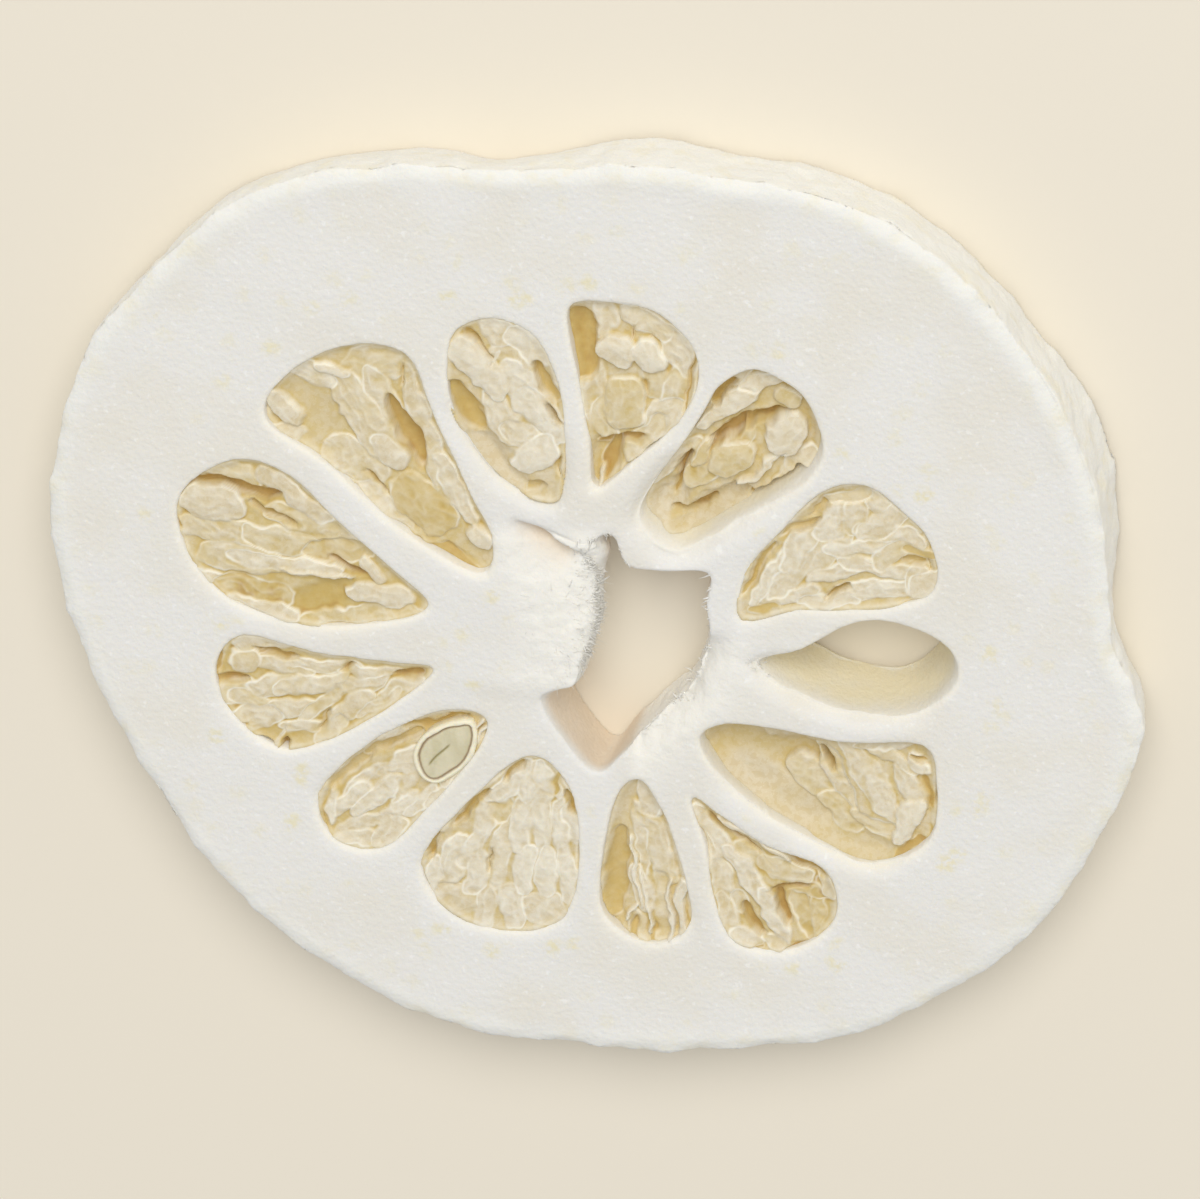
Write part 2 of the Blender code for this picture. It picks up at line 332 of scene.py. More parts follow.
@dataclass(frozen=True)
class PulpFinish:
    """Dried juice sacs: cream where a membrane stands up, partly its own colour and partly painted
    highlight, beige in the sacs, and golden in the gaps, which is painted shade.
    """

    cream: Colour = paint(228, 218, 194)
    beige: Colour = paint(218, 202, 166)
    yellow: Colour = paint(214, 193, 137)
    # Painted shade: the gold and brown that the gaps and deep slopes are painted.
    golden: Colour = paint(207, 180, 108)
    brown: Colour = paint(192, 158, 90)
    # Partly the membranes' own paler colour, partly painted highlight on their raised outlines, fold
    # crests and the band by the wall.
    edge: Colour = paint(250, 245, 229)
    frost: Colour = paint(242, 237, 224)

    def material(self) -> bpy.types.Material:
        """The material, which reads the attributes tone and ridge."""
        board = Board("dry_pulp")
        drift = board.noise(0.8, 3.0) - 0.5
        tone = (board.attribute("tone") + drift * 0.25).clamped()
        # The golden and brown stops carry the painted shade of the gaps.
        stops = [
            (0.0, self.cream), (0.3, self.beige), (0.6, self.yellow),
            (0.85, self.golden), (1.0, self.brown),
        ]
        colour = board.ramp(tone, stops)
        fuzz = board.noise(0.5, 4.0)
        threads = 1.0 - (fuzz - 0.5).size().between(0.0, 0.045)
        bloom = (fuzz.between(0.46, 0.66) + threads * 0.8) * (1.1 - tone * 1.2).clamped()
        colour = board.mix((bloom * 0.38).clamped(), colour, self.frost)
        # Painted highlight, with the membranes' paler colour, where the ridge attribute is high.
        colour = board.mix(board.attribute("ridge").clamped(), colour, self.edge)
        normal = board.bump(fuzz, 0.05)
        return board.finish(
            {"Base Color": colour, "Roughness": 0.6 + drift * 0.3, "Normal": normal},
            {
                "Specular IOR Level": 0.35,
                "Subsurface Weight": 0.25,
                "Subsurface Radius": Vector((1.0, 0.86, 0.62)),
                "Subsurface Scale": 0.3 * MM,
                "Sheen Weight": 0.1,
                "Sheen Roughness": 0.5,
            },
        )


@dataclass(frozen=True)
class SeedFinish:
    """A cut seed: a grey-green kernel, a thin brown skin and a cream coat."""

    kernel: Colour = paint(224, 216, 187)
    kernel_shade: Colour = paint(211, 203, 170)
    slit: Colour = paint(158, 146, 96)
    skin: Colour = paint(160, 136, 106)
    coat: Colour = paint(247, 238, 212)

    def material(self) -> bpy.types.Material:
        """The material, which reads the attributes coat, skin and slit."""
        board = Board("cut_seed")
        streaks = board.noise(1.1, 3.0, Vector((1.0, 0.45, 1.0)))
        colour = board.mix(streaks.between(0.35, 0.65), self.kernel, self.kernel_shade)
        colour = board.mix(board.attribute("slit").clamped(), colour, self.slit)
        colour = board.mix(board.attribute("skin").clamped(), colour, self.skin)
        colour = board.mix(board.attribute("coat").clamped(), colour, self.coat)
        normal = board.bump(board.noise(0.4, 3.0), 0.05)
        return board.finish(
            {"Base Color": colour, "Roughness": 0.5 + streaks * 0.2, "Normal": normal},
            {
                "Specular IOR Level": 0.4,
                "Subsurface Weight": 0.35,
                "Subsurface Radius": Vector((1.0, 0.8, 0.5)),
                "Subsurface Scale": 0.6 * MM,
            },
        )


@dataclass(frozen=True)
class FloorFinish:
    """A plain pale floor."""

    colour: Colour = paint(240, 232, 216)
    shade: Colour = paint(237, 228, 211)

    def material(self) -> bpy.types.Material:
        """The finish as a material, barely mottled."""
        board = Board("pale_floor")
        clouds = board.noise(240.0, 1.0).between(0.2, 0.8)
        colour = board.mix(clouds * 0.3, self.colour, self.shade)
        return board.finish({"Base Color": colour}, {"Roughness": 0.9, "Specular IOR Level": 0.2})


# ---------------------------------------------------------------------------- fields and outlines


class Grain:
    """Smooth seeded noise over the plane or in space, about -1 to 1."""

    SIZE = 256

    def __init__(self, seed: int) -> None:
        """Draws the noise's slopes."""
        draw = np.random.default_rng(seed)
        self.order = draw.permutation(self.SIZE)
        slopes = draw.normal(size=(self.SIZE, 3))
        self.slopes = slopes / np.linalg.norm(slopes, axis=1, keepdims=True)

    def at(self, points: np.ndarray, size: float) -> np.ndarray:
        """The noise.

        Args:
            points: Rows of two or three coordinates.
            size: The width of one cloud.

        Returns:
            One value for each row.
        """
        scaled = points / size
        cell = np.floor(scaled).astype(int)
        inside = scaled - cell
        fade = inside**3 * (inside * (inside * 6 - 15) + 10)
        total = np.zeros(len(points))
        axes = points.shape[1]
        for corner in product((0, 1), repeat=axes):
            index = np.zeros(len(points), int)
            share = np.ones(len(points))
            for axis, step in enumerate(corner):
                index = self.order[(index + cell[:, axis] + step) % self.SIZE]
                share *= fade[:, axis] if step else 1 - fade[:, axis]
            total += share * np.einsum("ij,ij->i", self.slopes[index, :axes], inside - corner)
        return total * 1.6

    def rough(self, points: np.ndarray, size: float, layers: int = 3) -> np.ndarray:
        """The noise with finer layers on it, each half as wide and half as high."""
        return sum(self.at(points + 37.0 * k, size / 2**k) / 2**k for k in range(layers))

    def creases(self, points: np.ndarray, size: float) -> np.ndarray:
        """Soft crests, 1 along their lines and 0 between them."""
        return np.clip(1 - 2.4 * np.abs(self.at(points, size)), 0, 1) ** 1.4


def bump_at(distance: np.ndarray, width: float) -> np.ndarray:
    """A bell: 1 at no distance, and nearly 0 past twice the width."""
    return np.exp(-((distance / width) ** 2))


def step_between(values: np.ndarray, low: float, high: float) -> np.ndarray:
    """A smooth step from 0 at low to 1 at high."""
    share = np.clip((values - low) / (high - low), 0, 1)
    return share * share * (3 - 2 * share)


def turned(points: np.ndarray, degrees: float) -> np.ndarray:
    """The points of a plane in axes turned counter-clockwise by an angle."""
    angle = math.radians(degrees)
    along = np.array([math.cos(angle), math.sin(angle)])
    across = np.array([-along[1], along[0]])
    return np.stack([points @ along, points @ across], axis=1)


@dataclass
class Outline:
    """A closed line at the upper face, and how it shrinks and slides down to the lower face."""

    line: np.ndarray
    under: np.ndarray
    middle: np.ndarray = field(init=False)
    shrink: float = field(init=False)
    slide: np.ndarray = field(init=False)

    def __post_init__(self) -> None:
        """Works out the way down from the two lines."""
        self.middle = self.line.mean(axis=0)
        self.shrink = 1 - self._length(self.under) / self._length(self.line)
        self.slide = self.under.mean(axis=0) - self.middle

    @staticmethod
    def _length(line: np.ndarray) -> float:
        """The length round a closed line."""
        return float(np.linalg.norm(line - np.roll(line, 1, axis=0), axis=1).sum())

    def depth_inside(self, points: np.ndarray) -> np.ndarray:
        """How far each point lies inside the line, or below 0 outside it."""
        nearest = np.full(len(points), np.inf)
        inside = np.zeros(len(points), bool)
        x, y = points[:, 0], points[:, 1]
        for start, end in zip(self.line, np.roll(self.line, -1, axis=0)):
            run = end - start
            share = np.clip(((x - start[0]) * run[0] + (y - start[1]) * run[1]) / (run @ run), 0, 1)
            gap_x, gap_y = x - start[0] - share * run[0], y - start[1] - share * run[1]
            nearest = np.minimum(nearest, gap_x**2 + gap_y**2)
            if run[1] != 0:
                crossed = (y >= start[1]) != (y >= end[1])
                inside ^= crossed & (start[0] + (y - start[1]) / run[1] * run[0] > x)
        return np.where(inside, 1.0, -1.0) * np.sqrt(nearest)

    def nearest(self, point: np.ndarray) -> np.ndarray:
        """The place on the line that is nearest to a point."""
        run = np.roll(self.line, -1, axis=0) - self.line
        share = np.clip(((point - self.line) * run).sum(axis=1) / (run**2).sum(axis=1), 0, 1)
        places = self.line + share[:, None] * run
        return places[np.linalg.norm(places - point, axis=1).argmin()]

    def lowered(self, points: np.ndarray, depth: np.ndarray) -> np.ndarray:
        """Where points of the face come to when they go down along the walls."""
        down = np.asarray(depth)[..., None] / THICKNESS
        return self.middle + (points - self.middle) * (1 - self.shrink * down) + self.slide * down

    def raised(self, points: np.ndarray, depth: np.ndarray) -> np.ndarray:
        """Where points at a depth come from on the face."""
        down = np.asarray(depth)[..., None] / THICKNESS
        return self.middle + (points - self.middle - self.slide * down) / (1 - self.shrink * down)


class Outlines:
    """The rim, the core's hole and the pockets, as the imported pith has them."""

    def __init__(self, node: bpy.types.Object) -> None:
        """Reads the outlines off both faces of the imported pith."""
        bm = merged(node)
        upper = self._closed_lines(bm, HIGH[2] * MM)
        lower = self._closed_lines(bm, LOW[2] * MM)
        bm.free()
        found = [Outline(line, self._nearest(line, lower)) for line in upper]
        found.sort(key=lambda outline: -np.ptp(outline.line[:, 0]))
        self.rim = found[0]
        inner = found[1:]
        self.core = min(inner, key=lambda outline: np.linalg.norm(outline.middle - CORE))
        self.pockets = [outline for outline in inner if outline is not self.core]

    @staticmethod
    def _closed_lines(bm: bmesh.types.BMesh, height: float) -> list[np.ndarray]:
        """The closed lines between a flat face and the walls.

        Args:
            bm: The merged mesh.
            height: The face's height in metres.

        Returns:
            Each line's points in millimetres.
        """
        after: dict = {}
        for edge in bm.edges:
            if all(abs(v.co.z - height) < MERGE for v in edge.verts):
                flat = [abs(f.normal.z) > 0.9 for f in edge.link_faces]
                if len(flat) == 2 and flat[0] != flat[1]:
                    a, b = edge.verts
                    after.setdefault(a, []).append(b)
                    after.setdefault(b, []).append(a)
        lines = []
        while after:
            start = next(iter(after))
            walk, here = [], start
            while here in after:
                walk.append((here.co.x / MM, here.co.y / MM))
                ahead = [v for v in after.pop(here) if v in after]
                here = ahead[0] if ahead else start
            lines.append(np.array(walk))
        return lines

    @staticmethod
    def _nearest(line: np.ndarray, others: list[np.ndarray]) -> np.ndarray:
        """The line of the other face that lies nearest, and is nearest in width."""
        def unlike(other: np.ndarray) -> float:
            """How far apart and how different in size two lines are."""
            apart = np.linalg.norm(other.mean(axis=0) - line.mean(axis=0))
            return float(apart + 0.3 * abs(np.ptp(other[:, 0]) - np.ptp(line[:, 0])))
        return min(others, key=unlike)

    def pocket_of(self, node: str) -> Outline:
        """The pocket that a node of pulp fills."""
        low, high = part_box(node)
        middle = np.array((low + high).xy) / 2 / MM
        return min(self.pockets, key=lambda outline: np.linalg.norm(outline.middle - middle))

    def empty_pocket(self, filled: list[Outline]) -> Outline:
        """The one pocket that holds no pulp."""
        return next(o for o in self.pockets if all(o is not other for other in filled))


# ------------------------------------------------------------------------------------ mesh helpers


def coordinates(mesh: bpy.types.Mesh) -> np.ndarray:
    """A mesh's points in millimetres."""
    flat = np.empty(len(mesh.vertices) * 3, np.float32)
    mesh.vertices.foreach_get("co", flat)
    return flat.reshape(-1, 3).astype(float) / MM


def set_coordinates(mesh: bpy.types.Mesh, points: np.ndarray) -> None:
    """Puts a mesh's points at these millimetres."""
    mesh.vertices.foreach_set("co", (points * MM).astype(np.float32).ravel())
    mesh.update()


def normals(mesh: bpy.types.Mesh) -> np.ndarray:
    """The smooth normal at each point."""
    flat = np.empty(len(mesh.vertices) * 3, np.float32)
    mesh.vertex_normals.foreach_get("vector", flat)
    return flat.reshape(-1, 3).astype(float)


def set_attributes(mesh: bpy.types.Mesh, **values_of: np.ndarray) -> None:
    """Stores one value for each point of a mesh under each of these names."""
    for name, values in values_of.items():
        made = mesh.attributes.new(name, "FLOAT", "POINT")
        made.data.foreach_set("value", np.asarray(values, np.float32))


def new_object(name: str, mesh: bpy.types.Mesh) -> bpy.types.Object:
    """An object in the scene with this mesh."""
    made = bpy.data.objects.new(name, mesh)
    bpy.context.scene.collection.objects.link(made)
    return made


def merged(node: bpy.types.Object) -> bmesh.types.BMesh:
    """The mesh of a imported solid, with the points that its faces share made one."""
    bm = bmesh.new()
    bm.from_mesh(node.data)
    bmesh.ops.remove_doubles(bm, verts=bm.verts, dist=MERGE)
    return bm


def mesh_of(name: str, bm: bmesh.types.BMesh) -> bpy.types.Mesh:
    """The mesh made from a bmesh, which is freed."""
    mesh = bpy.data.meshes.new(name)
    bm.to_mesh(mesh)
    bm.free()
    return mesh


def applied(obj: bpy.types.Object) -> None:
    """Applies an object's modifiers to its mesh."""
    graph = bpy.context.evaluated_depsgraph_get()
    made = bpy.data.meshes.new_from_object(obj.evaluated_get(graph))
    old = obj.data
    obj.modifiers.clear()
    obj.data = made
    bpy.data.meshes.remove(old)


def dressed(obj: bpy.types.Object, finish: bpy.types.Material) -> bpy.types.Object:
    """The object with its finish, shaded smooth."""
    obj.data.materials.clear()
    obj.data.materials.append(finish)
    obj.data.shade_smooth()
    return obj


# ------------------------------------------------------------------------------------------- pith


Fade = tuple[float, float]               # from where something is 0 to where it is 1, in mm

# How far a pocket's south lip slopes down, in mm, by the number of its pulp.
SHOULDERS = {"01": 0.25, "02": 0.60, "05": 0.42, "11": 0.30, "12": 0.20, "13": 0.60}
EMPTY_SHOULDER = 0.6                     # and that of the pocket without pulp


@dataclass
class Pith:
    """The white disc: its powdery faces, knife-cut rim, lipped pockets and torn, cottony core."""

    outlines: Outlines
    voxel: float = 0.22               # mesh size before thinning, in mm
    most_triangles: int = 190_000
    swell: float = 0.10               # height of the broad waves of the faces
    rim_swell: float = 0.26           # of the bumps on the rim
    chip: float = 0.22                # depth of the chips in the rim
    rim_round: float = 0.45           # how far the rim's edges are cut down
    rim_round_width: float = 1.1
    lip_round: float = 0.14           # how far a pocket's lip is cut down all round
    lip_round_width: float = 0.5
    shoulder: float = 0.2             # and more on its south side, unless the pocket has its own
    shoulder_width: float = 1.3
    lining: Fade = (0.20, 2.8)        # depth over which painted shade turns a pocket's wall from white to gold
    # Where the core's torn west side fades out: to its east, its south and its north.
    west: tuple[Fade, Fade, Fade] = ((2.9, 1.4), (-7.2, -5.0), (7.8, 6.2))
    mound: float = 0.30               # height of the swelling behind the torn side
    cotton: float = 0.12              # height of the tufts on it
    roundness: float = 3.0            # of its shoulder: 2 is a quarter circle, more is squarer
    jut: float = 1.65                 # how far it juts out over its own foot
    jut_ends: tuple[Fade, Fade] = ((-5.5, 1.0), (6.8, 4.8))
    scoop: float = 1.5                # depth of the hollow at its north end
    scoop_from: tuple[float, float] = (-4.4, 8.4)
    scoop_bearing: float = -29.0      # of the hollow's sharp north edge
    scoop_width: float = 4.6
    soft_edge: float = 1.5            # how far the core's cottony south-east edge is rounded down
    soft_edge_width: float = 2.2
    # Where that edge fades in: from its west and from its north.
    south_east: tuple[Fade, Fade] = ((3.2, 4.4), (0.0, -2.5))
    seed: int = 11

    def build(self) -> bpy.types.Object:
        """Models the piece that stands for the pith."""
        piece = new_object("pith_body", mesh_of("pith_body", merged(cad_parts["pith"])))
        self._remesh(piece)
        self._round_off(piece.data)
        self._raise_relief(piece.data)
        self._thin(piece)
        self._mark(piece.data)
        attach(piece, BODY)
        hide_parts("pith")
        return dressed(piece, PithFinish().material())

    def _remesh(self, piece: bpy.types.Object) -> None:
        """Gives the disc an even mesh with softened edges."""
        remesh = piece.modifiers.new("even", "REMESH")
        remesh.mode = "VOXEL"
        remesh.voxel_size = self.voxel * MM
        smooth = piece.modifiers.new("soft", "SMOOTH")
        smooth.factor = 0.5
        smooth.iterations = 3
        applied(piece)

    def _round_off(self, mesh: bpy.types.Mesh) -> None:
        """Cuts down the rim's edges and the pockets' lips, and rounds the core's torn side."""
        points = coordinates(mesh)
        plan = points[:, :2]
        depth = THICKNESS - points[:, 2]
        uneven = 1 + 0.6 * Grain(self.seed + 2).at(plan, 2.6)
        to_rim = self.outlines.rim.depth_inside(self.outlines.rim.raised(plan, depth))
        cut = self.rim_round * uneven * self._falling(to_rim, self.rim_round_width)
        own = {id(self.outlines.pocket_of(f"pulp_{name}")): s for name, s in SHOULDERS.items()}
        filled = [self.outlines.pocket_of(f"pulp_{name}") for name in SACS]
        own[id(self.outlines.empty_pocket(filled))] = EMPTY_SHOULDER
        for pocket in self.outlines.pockets:
            face_places = pocket.raised(plan, depth)
            away = -pocket.depth_inside(face_places)
            heading = face_places - pocket.middle
            heading /= np.linalg.norm(heading, axis=1, keepdims=True) + 1e-9
            south = step_between(-heading @ SIDE, -0.1, 0.6)
            drop = self.lip_round * uneven * self._falling(away, self.lip_round_width)
            slope = own.get(id(pocket), self.shoulder) * south
            drop += slope * uneven * self._falling(away, self.shoulder_width)
            cut = np.maximum(cut, drop)
        to_core = -self.outlines.core.depth_inside(self.outlines.core.raised(plan, depth))
        soft = self.soft_edge * uneven * self._falling(to_core, self.soft_edge_width)
        cut = np.maximum(cut, soft * self._on_south_east(plan))
        points[:, 2] = np.clip(points[:, 2], cut, THICKNESS - cut)
        self._bulge(points)
        points[:, 2] -= self.scoop * self._scooped(points) * step_between(points[:, 2], 2.5, 5.0)
        set_coordinates(mesh, points)

    def _bulge(self, points: np.ndarray) -> None:
        """Turns the torn side's straight slope into a rounded shoulder that juts out over the hole.

        Args:
            points: The disc's points, which are moved.
        """
        core = self.outlines.core
        from_top = core.depth_inside(points[:, :2])
        to_foot = -Outline(core.under, core.under).depth_inside(points[:, :2])
        on_slope = (from_top > -0.5) & (to_foot > 0)
        share = np.clip(from_top / np.maximum(from_top + to_foot, 1e-6), 0, 1)
        rounded = THICKNESS * (1 - share**self.roundness) ** (1 / self.roundness)
        west = self._on_west(points) * on_slope
        inner = step_between(points[:, 2], 0.1, 0.5) * west
        points[:, 2] += inner * (np.maximum(rounded, points[:, 2]) - points[:, 2])
        y = points[:, 1] - CORE[1]
        jut = self.jut * step_between(y, *self.jut_ends[0]) * step_between(y, *self.jut_ends[1])
        jut *= step_between(points[:, 2], 0.3 * THICKNESS, 0.8 * THICKNESS)
        points[:, 0] += west * jut * step_between(share, 0.0, 0.8) * (1 - self._scooped(points))

    @staticmethod
    def _falling(distance: np.ndarray, width: float) -> np.ndarray:
        """1 up to an edge, and curving down to 0 at the width behind it."""
        return (1 - np.clip(distance / width, 0, 1)) ** 2

    def _raise_relief(self, mesh: bpy.types.Mesh) -> None:
        """Moves the points to give the faces, the rim and the core their relief."""
        points, facing = coordinates(mesh), normals(mesh)
        waves, tufts = Grain(self.seed), Grain(self.seed + 1)
        flat = step_between(np.abs(facing[:, 2]), 0.55, 0.95)
        to_rim = self.outlines.rim.depth_inside(points[:, :2])
        to_core = -self.outlines.core.depth_inside(points[:, :2])
        rim = step_between(to_rim, 2.4, 0.2)
        face_waves = self.swell * waves.at(points, 10.0) + 0.4 * self.swell * waves.at(points, 3.2)
        facets = 1 - np.abs(waves.at(points * np.array([1.0, 1.0, 0.6]), 6.0)) * 2
        rim_waves = self.rim_swell * facets + 0.10 * waves.rough(points, 1.5, 2)
        chips = step_between(waves.at(points + 50.0, 3.4), 0.2, 0.6)
        rim_waves -= self.chip * chips * (0.6 + 0.4 * tufts.at(points, 1.2))
        cotton = step_between(to_core, 4.5, 0.5) * self._torn(points)
        pushed = flat * face_waves * (1 - rim) + rim * (1 - 0.6 * flat) * rim_waves
        pushed += cotton * self.cotton * (tufts.rough(points, 1.1, 3) + 0.15 * self._fan(points))
        pushed += self.mound * flat * step_between(to_core, 9.0, 1.0) * self._on_west(points)
        pushed += (1 - flat) * (1 - rim) * (1 - cotton) * 0.07 * waves.at(points, 2.2)
        points += facing * pushed[:, None]
        points[:, 2] = np.maximum(points[:, 2], 0.0)
        set_coordinates(mesh, points)

    def _fan(self, points: np.ndarray) -> np.ndarray:
        """Fibrous streaks that spread eastwards over the core's torn side."""
        away = points[:, :2] - CORE - np.array([-9.0, 0.5])
        across = np.arctan2(away[:, 1], away[:, 0]) * 9.0
        along = np.linalg.norm(away, axis=1) / 3.5
        streaks = Grain(self.seed + 3)
        return streaks.rough(np.stack([across, along, points[:, 2] / 3], axis=1), 0.75, 2)

    def _on_west(self, points: np.ndarray) -> np.ndarray:
        """1 on the core's cottony west side, and 0 on its other sides."""
        x, y = points[:, 0] - CORE[0], points[:, 1] - CORE[1]
        east, south, north = self.west
        return step_between(x, *east) * step_between(y, *south) * step_between(y, *north)

    def _on_south_east(self, points: np.ndarray) -> np.ndarray:
        """1 on the core's softly torn south-east side, and 0 on its other sides."""
        x, y = points[:, 0] - CORE[0], points[:, 1] - CORE[1]
        return step_between(x, *self.south_east[0]) * step_between(y, *self.south_east[1])

    def _torn(self, points: np.ndarray) -> np.ndarray:
        """1 where the core's edge is cottony: to the west outside the hollow, and to the south-east."""
        west = self._on_west(points) * (1 - self._scooped(points))
        return np.maximum(west, self._on_south_east(points))

    def _scooped(self, points: np.ndarray) -> np.ndarray:
        """1 in the deepest part of the hollow that falls away from a sharp edge, and 0 outside it."""
        place = turned(points[:, :2] - CORE - np.array(self.scoop_from), self.scoop_bearing)
        along, below = place[:, 0], -place[:, 1]
        hollow = step_between(below, -0.1, 0.35) * self._falling(below, self.scoop_width)
        return hollow * step_between(along, -0.5, 3.2) * step_between(along, 6.2, 4.4)

    def _thin(self, piece: bpy.types.Object) -> None:
        """Drops the points that flat stretches don't need."""
        mesh = piece.data
        mesh.calc_loop_triangles()
        thin = piece.modifiers.new("thin", "DECIMATE")
        thin.ratio = min(1.0, self.most_triangles / len(mesh.loop_triangles))
        applied(piece)

    def _mark(self, mesh: bpy.types.Mesh) -> None:
        """Stores what the finish reads."""
        points, facing = coordinates(mesh), normals(mesh)
        flat = step_between(np.abs(facing[:, 2]), 0.5, 0.9)
        below = THICKNESS - points[:, 2]
        near = np.full(len(points), np.inf)
        for pocket in self.outlines.pockets:
            face_places = pocket.raised(points[:, :2], below)
            near = np.minimum(near, -pocket.depth_inside(face_places))
        # Painted shade: a pocket's wall is marked for a darker, golden colour the deeper it lies below
        # the face.
        in_pocket = step_between(near, 0.75, 0.25) * (1 - 0.5 * flat)
        depth = step_between(below, *self.lining)
        depth *= step_between(points[:, 2], -0.2, 0.3)
        to_rim = self.outlines.rim.depth_inside(points[:, :2])
        to_core = -self.outlines.core.depth_inside(points[:, :2])
        # Own pinkish tint and painted shade, deepening down the core's wall and filling the hollow at
        # its north end.
        by_core = step_between(to_core, 0.9, 0.1) * step_between(below, 0.2, 1.6)
        cotton = self._torn(points)
        blush = np.maximum(by_core * (1 - cotton), np.minimum(1.6 * self._scooped(points), 1))
        flecked = (0.35 + 0.65 * bump_at(near - 1.8, 1.9)) * step_between(to_core, 2.0, 4.0)
        set_attributes(
            mesh,
            lining=in_pocket * depth,
            # Painted highlight along each pocket's lip.
            lip=bump_at(near - 0.12, 0.2) * (1 - depth),
            skin=step_between(to_rim, 2.2, 0.2),
            cotton=step_between(to_core, 5.0, 0.5) * cotton,
            blush=blush,
            face=flat * step_between(near, 0.6, 1.4) * flecked,
        )


# ------------------------------------------------------------------------------------------- pulp


class Form(Enum):
    """What part of the dried pulp looks like, in the order that one lies over another.

    Each value holds the rise of its middle as a share of the half width, the height of its crinkles
    and of its outline in millimetres, how soft its edge is in millimetres, and how papery it is.
    """

    SLOPE = (-0.05, 0.02, 0.00, 0.80, 0.0)
    SAC = (0.08, 0.06, 0.04, 0.14, 1.0)
    # A gap between sacs; the gold and brown tones of its rows are painted shade.
    GAP = (-0.25, 0.03, 0.03, 0.20, 0.15)
    LOBE = (0.18, 0.05, 0.045, 0.12, 0.7)
    FIN = (0.10, 0.02, 0.03, 0.08, 0.5)


LAYERS = list(Form)
SQUARENESS = 2.4                         # 2 gives each sac an elliptical outline, more a squarer one


@dataclass(frozen=True)
class Sac:
    """One dried juice sac, as it shows from the side that the slice is looked at.

    x, y, half_length and half_width are in millimetres, bearing in degrees counter-clockwise from
    +X, depth in millimetres below the face, and tone runs from 0, cream, to 1, brown. The golden and
    brown tones of the gaps and the deepest slopes are painted shade.
    """

    form: Form
    x: float
    y: float
    half_length: float
    half_width: float
    bearing: float
    depth: float
    tone: float

    def reach(self, points: np.ndarray, grown: float = 1.0) -> tuple[np.ndarray, np.ndarray]:
        """Where points lie about the outline.

        Args:
            points: Places on the face.
            grown: How much larger than its half sizes the sac is taken.

        Returns:
            The distance from the middle as a share of the outline's, and the distance from the
            outline in millimetres, below 0 inside it.
        """
        half = np.array([self.half_length, self.half_width]) * grown
        share = np.abs(turned(points - np.array([self.x, self.y]), self.bearing)) / half + 1e-6
        reach = (share**SQUARENESS).sum(axis=1) ** (1 / SQUARENESS)
        slope = np.linalg.norm(share ** (SQUARENESS - 1) / half, axis=1) * reach ** (1 - SQUARENESS)
        return reach, (reach - 1) / slope


def drawn(**rows_of: tuple[tuple[float, ...], ...]) -> tuple[Sac, ...]:
    """One pocket's sacs, from rows that hold what a Sac does, listed under the name of their form."""
    return tuple(Sac(Form[form], *row) for form, rows in rows_of.items() for row in rows)


